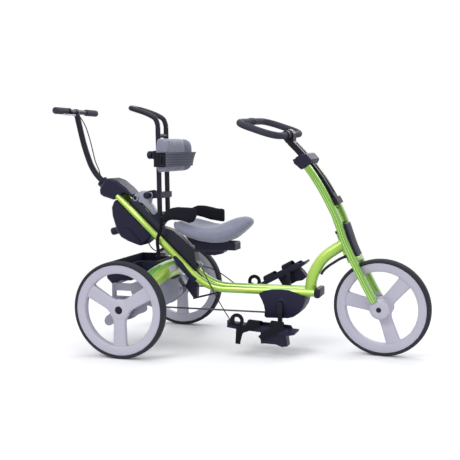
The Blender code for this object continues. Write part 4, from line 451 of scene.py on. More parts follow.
def piece(bm, name, finish, body, sharp=35.0, replaced=()):
    """Make a bmesh a finished piece that rides on a body."""
    bmesh.ops.recalc_face_normals(bm, faces=bm.faces)
    mesh = bpy.data.meshes.new(name)
    bm.to_mesh(mesh)
    bm.free()
    mesh.materials.append(MADE[finish])
    mesh.shade_smooth()
    mesh.set_sharp_from_angle(angle=math.radians(sharp))
    made = bpy.data.objects.new(name, mesh)
    bpy.context.scene.collection.objects.link(made)
    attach(made, body)
    if replaced:
        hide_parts(*replaced)
    return made


def spun(bm, profile, centre, axis, steps):
    """Spin a profile of (radius, height) points about an axis into bm. Returns its new vertices."""
    verts = [bm.verts.new((r, 0, h)) for r, h in profile]
    pairs = list(zip(verts, verts[1:]))
    if profile[0][0] > 0:
        pairs.append((verts[-1], verts[0]))
    edges = [bm.edges.new(pair) for pair in pairs]
    before = set(bm.verts) - set(verts)
    bmesh.ops.spin(bm, geom=verts + edges, cent=(0, 0, 0), axis=(0, 0, 1), angle=math.tau, steps=steps,
                   use_merge=True)
    new = [v for v in bm.verts if v not in before]
    bmesh.ops.remove_doubles(bm, verts=[v for v in new if v.co.xy.length < 1e-7], dist=1e-6)
    new = [v for v in bm.verts if v not in before]
    turn = Vector(axis).to_track_quat('Z', 'Y').to_matrix()
    bmesh.ops.rotate(bm, verts=new, cent=(0, 0, 0), matrix=turn)
    bmesh.ops.translate(bm, verts=new, vec=centre)
    return new


def swept(bm, points, radius, sides, closed=False, caps=True):
    """Sweep a round section along points into bm. radius is one value or one for each point."""
    points = [Vector(p) for p in points]
    count = len(points)
    radii = radius if isinstance(radius, (list, tuple)) else [radius] * count
    tangents = []
    for i in range(count):
        before = points[i - 1] if (i or closed) else points[i]
        after = points[(i + 1) % count] if (i < count - 1 or closed) else points[i]
        tangents.append((after - before).normalized())
    normal = tangents[0].orthogonal().normalized()
    rows = []
    for i in range(count):
        if i:
            turn = tangents[i - 1].rotation_difference(tangents[i])
            normal = (turn @ normal).normalized()
        side = tangents[i].cross(normal).normalized()
        rows.append([bm.verts.new(points[i] + (normal * math.cos(math.tau * k / sides)
                                               + side * math.sin(math.tau * k / sides)) * radii[i])
                     for k in range(sides)])
    pairs = list(zip(rows, rows[1:]))
    for low, high in pairs:
        for k in range(sides):
            j = (k + 1) % sides
            bm.faces.new((low[k], low[j], high[j], high[k]))
    if closed:
        low, high = rows[-1], rows[0]
        shift = min(range(sides), key=lambda n: (high[n].co - low[0].co).length)
        for k in range(sides):
            j = (k + 1) % sides
            bm.faces.new((low[k], low[j], high[(j + shift) % sides], high[(k + shift) % sides]))
    elif caps:
        bm.faces.new(list(reversed(rows[0])))
        bm.faces.new(rows[-1])
    return rows


def curve_through(knots, steps):
    """Points on a smooth curve through the knots."""
    knots = [Vector(k) for k in knots]
    padded = [2 * knots[0] - knots[1]] + knots + [2 * knots[-1] - knots[-2]]
    points = []
    for a, b, c, d in zip(padded, padded[1:], padded[2:], padded[3:]):
        for i in range(steps):
            t = i / steps
            points.append(((2 * b) + (c - a) * t + (2 * a - 5 * b + 4 * c - d) * t * t
                           + (3 * b - a - 3 * c + d) * t ** 3) / 2)
    return points + [knots[-1]]


def slab(bm, outline, thick, bevel=0.0, segments=2):
    """Extrude a closed outline by a vector, and round its edges. Returns its vertices."""
    before = set(bm.verts)
    face = bm.faces.new([bm.verts.new(p) for p in outline])
    moved = bmesh.ops.extrude_face_region(bm, geom=[face])
    bmesh.ops.translate(bm, verts=[v for v in moved["geom"] if isinstance(v, bmesh.types.BMVert)], vec=thick)
    new = [v for v in bm.verts if v not in before]
    faces = list({f for v in new for f in v.link_faces})
    bmesh.ops.recalc_face_normals(bm, faces=faces)
    if bevel:
        edges = [e for e in {e for v in new for e in v.link_edges}
                 if len(e.link_faces) == 2 and e.calc_face_angle(0) > math.radians(35)]
        bmesh.ops.bevel(bm, geom=edges, offset=bevel, offset_type='OFFSET', affect='EDGES', segments=segments,
                        profile=0.5, material=-1, clamp_overlap=True)
    return [v for v in bm.verts if v not in before]


def brick(bm, low, high, bevel=0.0015, segments=2):
    """A box between two corners with rounded edges. Returns its vertices."""
    before = set(bm.verts)
    bmesh.ops.create_cube(bm, size=1.0)
    new = [v for v in bm.verts if v not in before]
    low, high = Vector(low), Vector(high)
    for v in new:
        v.co = Vector([(a + b) / 2 + c * (b - a) for a, b, c in zip(low, high, v.co)])
    edges = list({e for v in new for e in v.link_edges})
    bmesh.ops.bevel(bm, geom=edges, offset=bevel, offset_type='OFFSET', affect='EDGES', segments=segments,
                    profile=0.5, material=-1, clamp_overlap=True)
    return [v for v in bm.verts if v not in before]


class TRIKE_OT_wheels(bpy.types.Operator):
    """Three moulded three-spoke wheels with rims, hubs and plugs, and their tyres."""
    bl_idname = "trike.wheels"
    bl_label = "Wheels and tyres"

    def spoke(self, bm, centre, out_y, angle):
        """One flared spoke: a crowned slab with rounded edges that widens into the hub and the rim."""
        rows = []
        inner, outer = 0.034, 0.1585
        steps, ring = 14, 20
        along = Vector((math.cos(angle), 0, math.sin(angle)))
        beside = Vector((-math.sin(angle), 0, math.cos(angle)))
        for i in range(steps + 1):
            t = i / steps
            r = inner + (outer - inner) * t
            flare = 0.012 * max(0, (t - 0.84) / 0.16) ** 2 + 0.006 * max(0, (0.2 - t) / 0.2) ** 2
            half = 0.0255 + 0.0045 * t + flare
            deep = 0.0132 - 0.0008 * math.sin(math.pi * t)
            row = []
            for k in range(ring):
                a = math.tau * (k + 0.5) / ring
                c, s = math.cos(a), math.sin(a)
                u = math.copysign(abs(c) ** 0.42, c) * half
                v = math.copysign(abs(s) ** 0.42, s) * deep
                row.append(bm.verts.new(centre + along * r + beside * u + Vector((0, out_y * v, 0))))
            rows.append(row)
        for low, high in zip(rows, rows[1:]):
            for k in range(ring):
                j = (k + 1) % ring
                bm.faces.new((low[k], low[j], high[j], high[k]))
        bm.faces.new(rows[0])
        bm.faces.new(rows[-1])

    def wheel(self, name, node, body, centre, out_y, spoke_deg, rear):
        bm = bmesh.new()
        steps = sizes().wheel_steps
        rim = [(0.1520, -0.0125), (0.1540, -0.0158), (0.1575, -0.0175), (0.173, -0.0178), (0.1835, -0.0185),
               (0.1875, -0.0178), (0.1875, 0.0178), (0.1835, 0.0185), (0.173, 0.0178), (0.1575, 0.0175),
               (0.1540, 0.0158), (0.1520, 0.0125)]
        spun(bm, rim, centre, (0, out_y, 0), steps)
        if rear:
            hub = [(0.0105, -0.0298), (0.023, -0.0298), (0.026, -0.028), (0.036, -0.0150), (0.0435, -0.0105),
                   (0.0455, -0.006), (0.0455, 0.006), (0.0435, 0.0110), (0.036, 0.0145), (0.0265, 0.0158),
                   (0.0235, 0.0163), (0.0190, 0.0163), (0.0172, 0.0150), (0.0162, 0.0105), (0.0105, 0.0105)]
        else:
            hub = [(0.0110, -0.0278), (0.034, -0.0278), (0.0370, -0.0250), (0.039, -0.0150), (0.0435, -0.0118),
                   (0.0455, -0.007), (0.0455, 0.007), (0.0435, 0.0118), (0.039, 0.0150), (0.0370, 0.0250),
                   (0.034, 0.0278), (0.0110, 0.0278)]
        spun(bm, hub, centre, (0, out_y, 0), steps)
        for i in range(3):
            self.spoke(bm, centre, out_y, math.radians(spoke_deg + 120 * i))
        self.turn(bm, rear)
        made = piece(bm, name, "glass_filled_nylon", body, 40, (node,))
        bm = bmesh.new()
        if rear:
            plug = [(0, 0.0150), (0.0085, 0.0150), (0.0105, 0.0136), (0.0112, 0.0120), (0.0158, 0.0112),
                    (0.0158, 0.0104), (0, 0.0104)]
            spun(bm, plug, centre, (0, out_y, 0), 32)
        else:
            for side in (-1, 1):
                bolt = [(0, 0.0068), (0.0050, 0.0068), (0.0062, 0.0055), (0.0100, 0.0042), (0.0104, 0.0),
                        (0, 0.0)]
                spun(bm, bolt, centre + Vector((0, side * 0.049, 0)), (0, side, 0), 24)
        self.turn(bm, rear)
        piece(bm, name + "_plug", "black_polyamide", body if rear else "steering_fork")
        return made

    def turn(self, bm, rear):
        """Turn the front wheel's shapes about their own middle, as the steering stands."""
        if not rear:
            bmesh.ops.rotate(bm, verts=bm.verts, cent=FRONT_AXLE, matrix=STEERED)

    def tyre(self, name, node, body, centre, finish):
        bm = bmesh.new()
        profile = [(0.1882, -0.0180), (0.1905, -0.0212), (0.1945, -0.0226), (0.1985, -0.0207), (0.2014, -0.0165),
                   (0.2026, -0.0100), (0.2029, -0.0035), (0.2029, 0.0035), (0.2026, 0.0100), (0.2014, 0.0165),
                   (0.1985, 0.0207), (0.1945, 0.0226), (0.1905, 0.0212), (0.1882, 0.0180)]
        spun(bm, profile, centre, (0, 1, 0), sizes().wheel_steps)
        self.turn(bm, centre != FRONT_AXLE)
        piece(bm, name, finish, body, 50, (node,))

    def execute(self, context):
        self.wheel("wheel_rear_right", "rear_rim_right", "driven_axle", AXLE, -1, -90, True)
        self.wheel("wheel_rear_left", "rear_rim_left", "free_wheel", AXLE_LEFT, 1, -90, True)
        self.wheel("wheel_front", "front_rim", "front_wheel", FRONT_AXLE, -1, 49, False)
        self.tyre("tyre_rear_right", "rear_tyre_right", "driven_axle", AXLE, "tyre_rubber_right")
        self.tyre("tyre_rear_left", "rear_tyre_left", "free_wheel", AXLE_LEFT, "tyre_rubber_left")
        self.tyre("tyre_front", "front_tyre", "front_wheel", FRONT_AXLE, "tyre_rubber_front")
        return {'FINISHED'}


TWIN_HALF = 0.037
RAIL_R, MAIN_R = 0.014, 0.016
LOW_Z, BEND_R, NOSE_X = 0.255, 0.210, 0.750


def rounded(corners, reach, steps):
    """Corners of a closed outline, each rounded over its reach."""
    points = []
    for i, corner in enumerate(corners):
        here = Vector(corner)
        start = here + (Vector(corners[i - 1]) - here).normalized() * reach
        end = here + (Vector(corners[(i + 1) % len(corners)]) - here).normalized() * reach
        for k in range(steps + 1):
            t = k / steps
            points.append(start * (1 - t) ** 2 + here * 2 * t * (1 - t) + end * t * t)
    return points


class TRIKE_OT_frame(bpy.types.Operator):
    """Welded frame: twin rails swaged into the main tubes, cross plates, neck and head tube."""
    bl_idname = "trike.frame"
    bl_label = "Frame"

    def line(self, y):
        """Centre line of one main tube, with its radius at each point."""
        meet = (RAIL_TOP.z - LOW_Z) / math.sin(SLOPE)
        end = slope(meet, 0).x + BEND_R * math.tan(SLOPE / 2)
        points, radii = [], []
        for s, r in ((-0.012, RAIL_R - 0.001), (-0.0105, RAIL_R), (0.220, RAIL_R), (0.236, 0.0143), (0.252, 0.0151),
                     (0.266, 0.0158), (0.280, MAIN_R)):
            points.append(slope(s, 0, y))
            radii.append(r)
        steps = 18
        for i in range(steps + 1):
            a = -math.pi / 2 - SLOPE + SLOPE * i / steps
            points.append(Vector((end + BEND_R * math.cos(a), y, LOW_Z + BEND_R + BEND_R * math.sin(a))))
            radii.append(MAIN_R)
        points.append(at(NOSE_X, y, LOW_Z))
        return points, radii + [MAIN_R]

    def execute(self, context):
        bm = bmesh.new()
        sides = sizes().tube_sides
        for sign in (-1, 1):
            points, radii = self.line(sign * TWIN_HALF)
            swept(bm, points, radii, sides)
        for s in (0.012, 0.284):
            corners = [slope(s - 0.011, -0.011, -TWIN_HALF), slope(s + 0.011, -0.011, -TWIN_HALF),
                       slope(s + 0.011, -0.0065, -TWIN_HALF), slope(s - 0.011, -0.0065, -TWIN_HALF)]
            slab(bm, corners, Vector((0, 2 * TWIN_HALF, 0)), 0.0008)
        brick(bm, at(NOSE_X - 0.031, -TWIN_HALF, LOW_Z - 0.012), at(NOSE_X - 0.001, TWIN_HALF, LOW_Z + 0.012), 0.002)
        neck = curve_through([at(0.724, 0, 0.259), at(0.731, 0, 0.310), at(0.752, 0, 0.360), at(0.789, 0, 0.408),
                              HEAD_MID - HEAD_UP * 0.004 - Vector((0.006, 0, 0))], 7)
        swept(bm, neck, [0.0262, 0.0250] + [0.024] * (len(neck) - 2), sides)
        collar = [(0.0142, -0.048), (0.0190, -0.048), (0.0198, -0.0468), (0.0198, -0.0432), (0.0193, -0.0424),
                  (0.0193, 0.0424), (0.0198, 0.0432), (0.0198, 0.0468), (0.0190, 0.048), (0.0142, 0.048)]
        spun(bm, collar, HEAD_MID, HEAD_UP, 40)
        piece(bm, "welded_frame", "lime_powder_coat", "frame", 40, ("main_frame",))
        self.beam()
        return {'FINISHED'}

    def section(self, y, grow=0.0):
        """Middle of the rear beam's oval section at y, and its half sizes."""
        share = abs(y) / 0.3005
        return at(0.094 - 0.006 * share, y, 0.333 - 0.042 * share ** 2.2), 0.037 + grow, 0.038 + grow

    def skin(self, y, a, grow=0.0):
        """A point on the rear beam's skin."""
        mid, deep, tall = self.section(y, grow)
        c, s = math.cos(a), math.sin(a)
        return mid + Vector((deep * math.copysign(abs(c) ** 0.75, c), 0, tall * math.copysign(abs(s) ** 0.75, s)))

    def beam(self):
        low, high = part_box("rear_axle_beam")
        bm = bmesh.new()
        count, steps = 40, 36
        lofted(bm, [[self.skin(low[1] + (high[1] - low[1]) * i / steps, math.tau * k / count) for k in range(count)]
                    for i in range(steps + 1)])
        piece(bm, "arched_beam", "lime_powder_coat", "frame", 40, ("rear_axle_beam",))
        bm = bmesh.new()
        rings = []
        for i in range(7):
            y = -0.120 + 0.100 * i / 6
            first, last = math.radians(1), math.radians(36)
            row = [self.skin(y, first + (last - first) * k / 6, 0.0009) for k in range(7)]
            row += [self.skin(y, last + (first - last) * k / 6, 0.0002) for k in range(7)]
            rings.append(row)
        lofted(bm, rings)
        piece(bm, "beam_label", "bare_label", "frame", 30)


LOOP_AT = at(0.632, 0, 0.915)
LOOP_LEAN = math.radians(18.5)
LOOP_BACK = Vector((-math.cos(LOOP_LEAN), 0, math.sin(LOOP_LEAN)))
LOOP_R = 0.0143


def loop_point(y, back, lift=0.0):
    """A point of the handlebar's plane, turned with the steering."""
    return steered(LOOP_AT + LOOP_BACK * back + Vector((0, y, 0)) + LOOP_BACK.cross(Vector((0, 1, 0))) * -lift)


class TRIKE_OT_handlebar(bpy.types.Operator):
    """Closed handlebar loop under foam, with its joint rings and the knuckle that clamps it."""
    bl_idname = "trike.handlebar"
    bl_label = "Handlebar"

    def execute(self, context):
        bm = bmesh.new()
        half, length = 0.165, 0.186
        corners = [(-half, 0), (half, 0), (half, length), (-half, length)]
        path = [loop_point(y, back) for y, back in rounded(corners, 0.072, 12)]
        swept(bm, path, LOOP_R, sizes().tube_sides, closed=True)
        piece(bm, "loop_foam", "foam_grip", "handlebar_loop", 60, ("handlebar",))
        bm = bmesh.new()
        across = (STEERED @ Vector((0, 1, 0)))
        for y in (-0.010, 0.012, 0.022):
            ring = [(LOOP_R + 0.0001, -0.0035), (LOOP_R + 0.0016, -0.0030), (LOOP_R + 0.0020, 0.0),
                    (LOOP_R + 0.0016, 0.0030), (LOOP_R + 0.0001, 0.0035)]
            spun(bm, ring, loop_point(y, length), across, 32)
        for first, last in ((-0.052, -0.020), (0.0195, 0.030)):
            shell = [(LOOP_R + 0.0001, first), (0.0178, first), (0.0192, first + 0.0015), (0.0192, last - 0.0015),
                     (0.0178, last), (LOOP_R + 0.0001, last)]
            spun(bm, shell, loop_point(0, 0), across, 32)
        piece(bm, "loop_rings", "black_polyamide", "handlebar_loop", 35)
        return {'FINISHED'}


class TRIKE_OT_bars(bpy.types.Operator):
    """Bent push tube with its T-bar and collar, and the backrest's bent uprights."""
    bl_idname = "trike.bars"
    bl_label = "Push tube and uprights"

    def push(self):
        bm = bmesh.new()
        axis_t = -0.018
        knots = [slope(-0.034, axis_t), slope(-0.080, axis_t), slope(-0.108, axis_t), slope(-0.126, axis_t + 0.001),
                 at(-0.276, 0, 0.752), at(-0.299, 0, 0.788), at(-0.317, 0, 0.833), at(-0.337, 0, 0.896),
                 at(-0.356, 0, 0.976), at(-0.369, 0, 1.034)]
        swept(bm, curve_through(knots, 6), 0.0133, 24)
        bar = [(0, -0.180), (0.0105, -0.180), (0.0105, 0.180), (0, 0.180)]
        middle = at(-0.369, 0, 1.034)
        spun(bm, bar, middle, (0, 1, 0), 24)
        joint = [(0.0106, -0.0145), (0.0128, -0.0140), (0.0136, -0.011), (0.0136, 0.011), (0.0128, 0.0140),
                 (0.0106, 0.0145)]
        spun(bm, joint, middle, (0, 1, 0), 28)
        clamp = [(0.0106, -0.008), (0.0145, -0.008), (0.0155, -0.0068), (0.0155, 0.0068), (0.0145, 0.008),
                 (0.0106, 0.008)]
        spun(bm, clamp, middle + Vector((0, -0.070, 0)), (0, 1, 0), 28)
        brick(bm, at(-0.363, -0.076, 1.0205), at(-0.341, -0.066, 1.032), 0.0015)
        collar = [(0, 0), (0.0255, 0), (0.026, 0.001), (0.026, 0.0145), (0.0245, 0.016), (0.0170, 0.016),
                  (0.0150, 0.0165), (0, 0.0165)]
        spun(bm, collar, slope(-0.108, axis_t), -ALONG, 36)
        piece(bm, "push_bar", "satin_black_paint", "push_handle", 40, ("push_tube",))

    def uprights(self):
        bm = bmesh.new()
        knots = [(0.056, 0.045, 0.559), (0.055, 0.045, 0.76), (0.054, 0.045, 0.940), (0.054, 0.045, 0.962),
                 (0.046, 0.045, 0.988), (0.032, 0.045, 1.002), (-0.006, 0.045, 1.020), (-0.054, 0.045, 1.036),
                 (-0.076, 0.036, 1.042), (-0.084, 0.016, 1.045)]
        knots += [(x, -y, z) for x, y, z in reversed(knots)]
        swept(bm, curve_through([at(*k) for k in knots], 5), 0.011, 22)
        spun(bm, [(0, -0.059), (0.0092, -0.059), (0.010, -0.058), (0.010, 0.058), (0.0092, 0.059), (0, 0.059)],
             at(0.053, 0, 0.565), (0, 1, 0), 24)
        spun(bm, [(0, -0.045), (0.009, -0.045), (0.009, 0.045), (0, 0.045)], at(0.054, 0, 0.920), (0, 1, 0), 20)
        piece(bm, "bent_uprights", "satin_black_paint", "backrest", 40, ("backrest_uprights",))

    def execute(self, context):
        self.push()
        self.uprights()
        return {'FINISHED'}


BLADE_REAR = [(0.713, 0.776), (0.741, 0.738), (0.776, 0.683), (0.806, 0.628), (0.832, 0.576), (0.849, 0.530),
              (0.866, 0.480), (0.888, 0.430), (0.912, 0.380), (0.940, 0.325), (0.966, 0.275), (0.994, 0.226)]
BLADE_IN, BLADE_T, BLADE_D = 0.033, 0.022, 0.029


class TRIKE_OT_fork(bpy.types.Operator):
    """Fork: two curved, grooved blades joined by bridges, with the steerer."""
    bl_idname = "trike.fork"
    bl_label = "Fork"

    def blade(self, bm, sign):
        line = curve_through([at(x, 0, z) for x, z in BLADE_REAR], 3)
        soft, deep = 0.0035, 0.0014
        section = [(soft, 0), (0.0070, 0), (0.0090, deep), (0.0115, deep), (0.0135, 0), (0.0165, 0), (0.0185, deep),
                   (0.0205, deep), (0.0225, 0), (BLADE_D - soft, 0), (BLADE_D - soft * 0.3, soft * 0.3),
                   (BLADE_D, soft), (BLADE_D, BLADE_T - soft), (BLADE_D - soft * 0.3, BLADE_T - soft * 0.3),
                   (BLADE_D - soft, BLADE_T), (soft, BLADE_T), (soft * 0.3, BLADE_T - soft * 0.3),
                   (0, BLADE_T - soft), (0, soft), (soft * 0.3, soft * 0.3)]
        rings = []
        for i, spot in enumerate(line):
            before, after = line[max(i - 1, 0)], line[min(i + 1, len(line) - 1)]
            down = (after - before).normalized()
            ahead = Vector((-down.z, 0, down.x))
            rings.append([steered(spot + ahead * d + Vector((0, sign * (BLADE_IN + BLADE_T - t), 0)))
                          for d, t in section])
        lofted(bm, rings)

    def execute(self, context):
        bm = bmesh.new()
        for sign in (-1, 1):
            self.blade(bm, sign)
        span = BLADE_IN + 0.004
        crowns = ([(0.830, 0.6130), (0.8380, 0.6050), (0.8620, 0.5545), (0.856, 0.5405), (0.8385, 0.5405),
                   (0.820, 0.5905)],
                  [(0.892, 0.4010), (0.926, 0.4190), (0.935, 0.412), (0.938, 0.398), (0.926, 0.3905),
                   (0.904, 0.3870), (0.894, 0.389)])
        for outline in crowns:
            corners = [steered(at(x, -span, z)) for x, z in outline]
            slab(bm, corners, STEERED @ Vector((0, 2 * span, 0)), 0.0015)
        steerer = [(0, -0.078), (0.0135, -0.078), (0.0135, 0.100), (0, 0.100)]
        spun(bm, steerer, HEAD_MID, HEAD_UP, 24)
        # The blades take the darker copy of the lime coat: painted shade.
        piece(bm, "fork_blades", "lime_powder_coat_shaded_copy", "steering_fork", 32, ("fork",))
        return {'FINISHED'}


def inflate(made, voxel, pressure, most):
    """Puff a closed form as stuffed fabric: remesh it, run a short cloth simulation, and cap each point's move."""
    scene = bpy.context.scene
    grid = made.modifiers.new("grid", 'REMESH')
    grid.mode = 'VOXEL'
    grid.voxel_size = voxel
    bpy.context.view_layer.objects.active = made
    bake(made)
    rest = [v.co.copy() for v in made.data.vertices]
    cloth = made.modifiers.new("stuffing", 'CLOTH')
    cloth.settings.use_pressure = True
    cloth.settings.uniform_pressure_force = pressure
    cloth.settings.effector_weights.gravity = 0
    cloth.settings.quality = 6
    scene.frame_start, scene.frame_end = 1, 20
    for step in range(1, 21):
        scene.frame_set(step)
    bake(made)
    scene.frame_set(1)
    for vert, start in zip(made.data.vertices, rest):
        move = vert.co - start
        if move.length > most:
            vert.co = start + move.normalized() * most


def bake(made):
    """Put a piece's modifiers into its mesh."""
    shown = made.evaluated_get(bpy.context.evaluated_depsgraph_get())
    mesh = bpy.data.meshes.new_from_object(shown)
    old = made.data
    made.modifiers.clear()
    made.data = mesh
    bpy.data.meshes.remove(old)


def even(made, rounds=4, share=0.5):
    """Smooth a remeshed form, and subdivide it once."""
    bm = bmesh.new()
    bm.from_mesh(made.data)
    for _ in range(rounds):
        bmesh.ops.smooth_vert(bm, verts=bm.verts, factor=share, use_axis_x=True, use_axis_y=True, use_axis_z=True)
    bm.to_mesh(made.data)
    bm.free()
    made.data.shade_smooth()
    fine = made.modifiers.new("fine", 'SUBSURF')
    fine.levels = fine.render_levels = 1
    bake(made)
    made.data.shade_smooth()


def lofted(bm, rings):
    """Skin a row of point rings of one count, with flat ends."""
    rows = [[bm.verts.new(p) for p in ring] for ring in rings]
    for low, high in zip(rows, rows[1:]):
        for k in range(len(low)):
            j = (k + 1) % len(low)
            bm.faces.new((low[k], low[j], high[j], high[k]))
    bm.faces.new(rows[0])
    bm.faces.new(list(reversed(rows[-1])))
    return rows


SADDLE = (
    # x, half width, low edge, low middle, top edge, top middle
    (0.140, 0.078, 0.534, 0.531, 0.555, 0.552), (0.148, 0.110, 0.521, 0.514, 0.561, 0.550),
    (0.167, 0.131, 0.508, 0.499, 0.561, 0.538), (0.207, 0.138, 0.491, 0.482, 0.547, 0.523),
    (0.255, 0.138, 0.477, 0.468, 0.531, 0.518), (0.305, 0.134, 0.470, 0.4612, 0.521, 0.521),
    (0.350, 0.118, 0.468, 0.4612, 0.521, 0.538), (0.395, 0.092, 0.491, 0.478, 0.535, 0.559),
    (0.430, 0.066, 0.513, 0.506, 0.553, 0.573), (0.456, 0.045, 0.531, 0.529, 0.560, 0.570),
    (0.467, 0.026, 0.543, 0.542, 0.558, 0.562))
BELT_TOP, BELT_LOW = 0.8475, 0.7860
BELT = (
    # x of the top edge, x of the bottom edge, y
    (0.080, 0.080, -0.1547), (0.107, 0.107, -0.1552), (0.128, 0.128, -0.1545), (0.146, 0.140, -0.1450),
    (0.166, 0.147, -0.1180), (0.184, 0.154, -0.0720), (0.192, 0.158, -0.0240), (0.192, 0.158, 0.0240),
    (0.184, 0.154, 0.0720), (0.166, 0.147, 0.1180), (0.146, 0.140, 0.1450), (0.128, 0.128, 0.1545),
    (0.107, 0.107, 0.1552), (0.080, 0.080, 0.1547))


class TRIKE_OT_pads(bpy.types.Operator):
    """Seat cushion, back pad and hip pads as stuffed pieces with their covers."""
    bl_idname = "trike.pads"
    bl_label = "Padded pieces"

    def seat(self):
        bm = bmesh.new()
        rings = []
        count = 28
        for x, wide, low_edge, low_mid, top_edge, top_mid in SADDLE:
            mid = (low_edge + top_edge) / 2
            row = []
            for k in range(count):
                a = math.tau * (k + 0.5) / count
                c, s = math.cos(a), math.sin(a)
                share = math.copysign(abs(c) ** 0.7, c)
                edge, middle = (top_edge, top_mid) if s > 0 else (low_edge, low_mid)
                reach = middle + (edge - middle) * min(abs(share) * 1.08, 1) ** 2.4
                row.append(at(x, wide * share, mid + (reach - mid) * abs(s) ** 0.45))
            rings.append(row)
        lofted(bm, rings)
        made = piece(bm, "seat_pad", "stretch_knit", "seat", 60, ("seat_cushion",))
        inflate(made, 0.005, 3.5, 0.006)
        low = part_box("seat_cushion")[0][2]
        for vert in made.data.vertices:
            vert.co.z = max(vert.co.z, low)
        even(made, 3)

    def back(self):
        half = [(0.1400, -0.1330, 0.006, 0.795, 0.875), (0.134, -0.1345, 0.011, 0.775, 0.894),
                (0.122, -0.1355, 0.0145, 0.764, 0.905), (0.107, -0.1345, 0.0160, 0.760, 0.909),
                (0.0975, -0.1260, 0.0162, 0.759, 0.910), (0.0965, -0.1060, 0.0162, 0.759, 0.911),
                (0.1010, -0.074, 0.016, 0.759, 0.911), (0.101, -0.034, 0.016, 0.759, 0.911)]
        stations = half + [(0.101, 0.0, 0.016, 0.759, 0.911)] + [(x, -y, t, a, b) for x, y, t, a, b
                                                                in reversed(half)]
        bm = bmesh.new()
        rings = []
        count = 24
        for i, (x, y, t, low, high) in enumerate(stations):
            before, after = stations[max(i - 1, 0)], stations[min(i + 1, len(stations) - 1)]
            forward = Vector((after[0] - before[0], after[1] - before[1], 0)).normalized()
            normal = forward.cross(Vector((0, 0, 1)))
            mid, half_h = (low + high) / 2, (high - low) / 2
            row = []
            for k in range(count):
                a = math.tau * (k + 0.5) / count
                c, s = math.cos(a), math.sin(a)
                row.append(at(x, y, mid) + normal * t * math.copysign(abs(c) ** 0.6, c)
                           + Vector((0, 0, half_h * math.copysign(abs(s) ** 0.6, s))))
            rings.append(row)
        lofted(bm, rings)
        made = piece(bm, "back_support_pad", "stretch_knit", "back_support", 60, ("back_pad",))
        inflate(made, 0.005, 3.5, 0.004)
        even(made, 3)

    def belt(self):
        """Wide chest belt: a smooth band with a stitched edge at top and bottom, and a buckle on its near side."""
        tops = curve_through([at(x, y, BELT_TOP) for x, _, y in BELT], 5)
        lows = curve_through([at(x, y, BELT_LOW) for _, x, y in BELT], 5)
        bm = bmesh.new()
        rings = []
        shares = [0.0, 0.035, 0.07, 0.10, 0.5, 0.90, 0.93, 0.965, 1.0]
        lifts = [0.0006, 0.0018, 0.0018, 0.0008, 0.0009, 0.0008, 0.0018, 0.0018, 0.0006]
        for i, (top, low) in enumerate(zip(tops, lows)):
            before, after = tops[max(i - 1, 0)], tops[min(i + 1, len(tops) - 1)]
            aside = (after - before).normalized().cross(Vector((0, 0, 1)))
            outer = [top.lerp(low, s) + aside * t for s, t in zip(shares, lifts)]
            inner = [top.lerp(low, s) - aside * t for s, t in zip(shares, lifts)]
            rings.append(outer + list(reversed(inner)))
        lofted(bm, rings)
        piece(bm, "chest_belt", "striped_webbing", "back_support", 30, ("chest_strap",))
        bm = bmesh.new()
        for z in (0.7900, 0.8300):
            brick(bm, at(0.112, -0.1612, z), at(0.131, -0.1560, z + 0.006), 0.0015)
        for x in (0.112, 0.127):
            brick(bm, at(x, -0.1608, 0.7905), at(x + 0.004, -0.1562, 0.8355), 0.0012)
        piece(bm, "chest_belt_buckle", "black_polyamide", "back_support")

    def hip(self, name, node, sign, stations):
        bm = bmesh.new()
        rings = []
        count = 20
        for x, t, low, high in stations:
            mid, half_h = (low + high) / 2, (high - low) / 2
            rings.append([at(x, -sign * HIP_Y + t * math.copysign(abs(math.cos(a)) ** 0.6, math.cos(a)),
                             mid + half_h * math.copysign(abs(math.sin(a)) ** 0.6, math.sin(a)))
                          for a in [math.tau * (k + 0.5) / count for k in range(count)]])
        lofted(bm, rings)
        made = piece(bm, name, "black_webbing", "seat", 60, (node,))
        inflate(made, 0.004, 3.0, 0.003)
        even(made, 2)

    def execute(self, context):
        self.seat()
        self.back()
        self.belt()
        self.hip("hip_bolster_right", "hip_pad_right", -1,
                 [(0.100, 0.006, 0.553, 0.572), (0.107, 0.010, 0.548, 0.585), (0.124, 0.0115, 0.551, 0.602),
                  (0.145, 0.012, 0.5560, 0.612), (0.170, 0.012, 0.5555, 0.6165), (0.200, 0.012, 0.552, 0.616),
                  (0.225, 0.012, 0.545, 0.6155), (0.248, 0.011, 0.553, 0.6125), (0.260, 0.006, 0.576, 0.609)])
        self.hip("hip_bolster_left", "hip_pad_left", 1,
                 [(0.122, 0.006, 0.562, 0.578), (0.136, 0.011, 0.5560, 0.593), (0.170, 0.012, 0.5540, 0.6065),
                  (0.200, 0.012, 0.547, 0.607), (0.229, 0.012, 0.5385, 0.603), (0.260, 0.012, 0.5355, 0.597),
                  (0.290, 0.011, 0.532, 0.5925), (0.299, 0.009, 0.533, 0.589)])
        return {'FINISHED'}


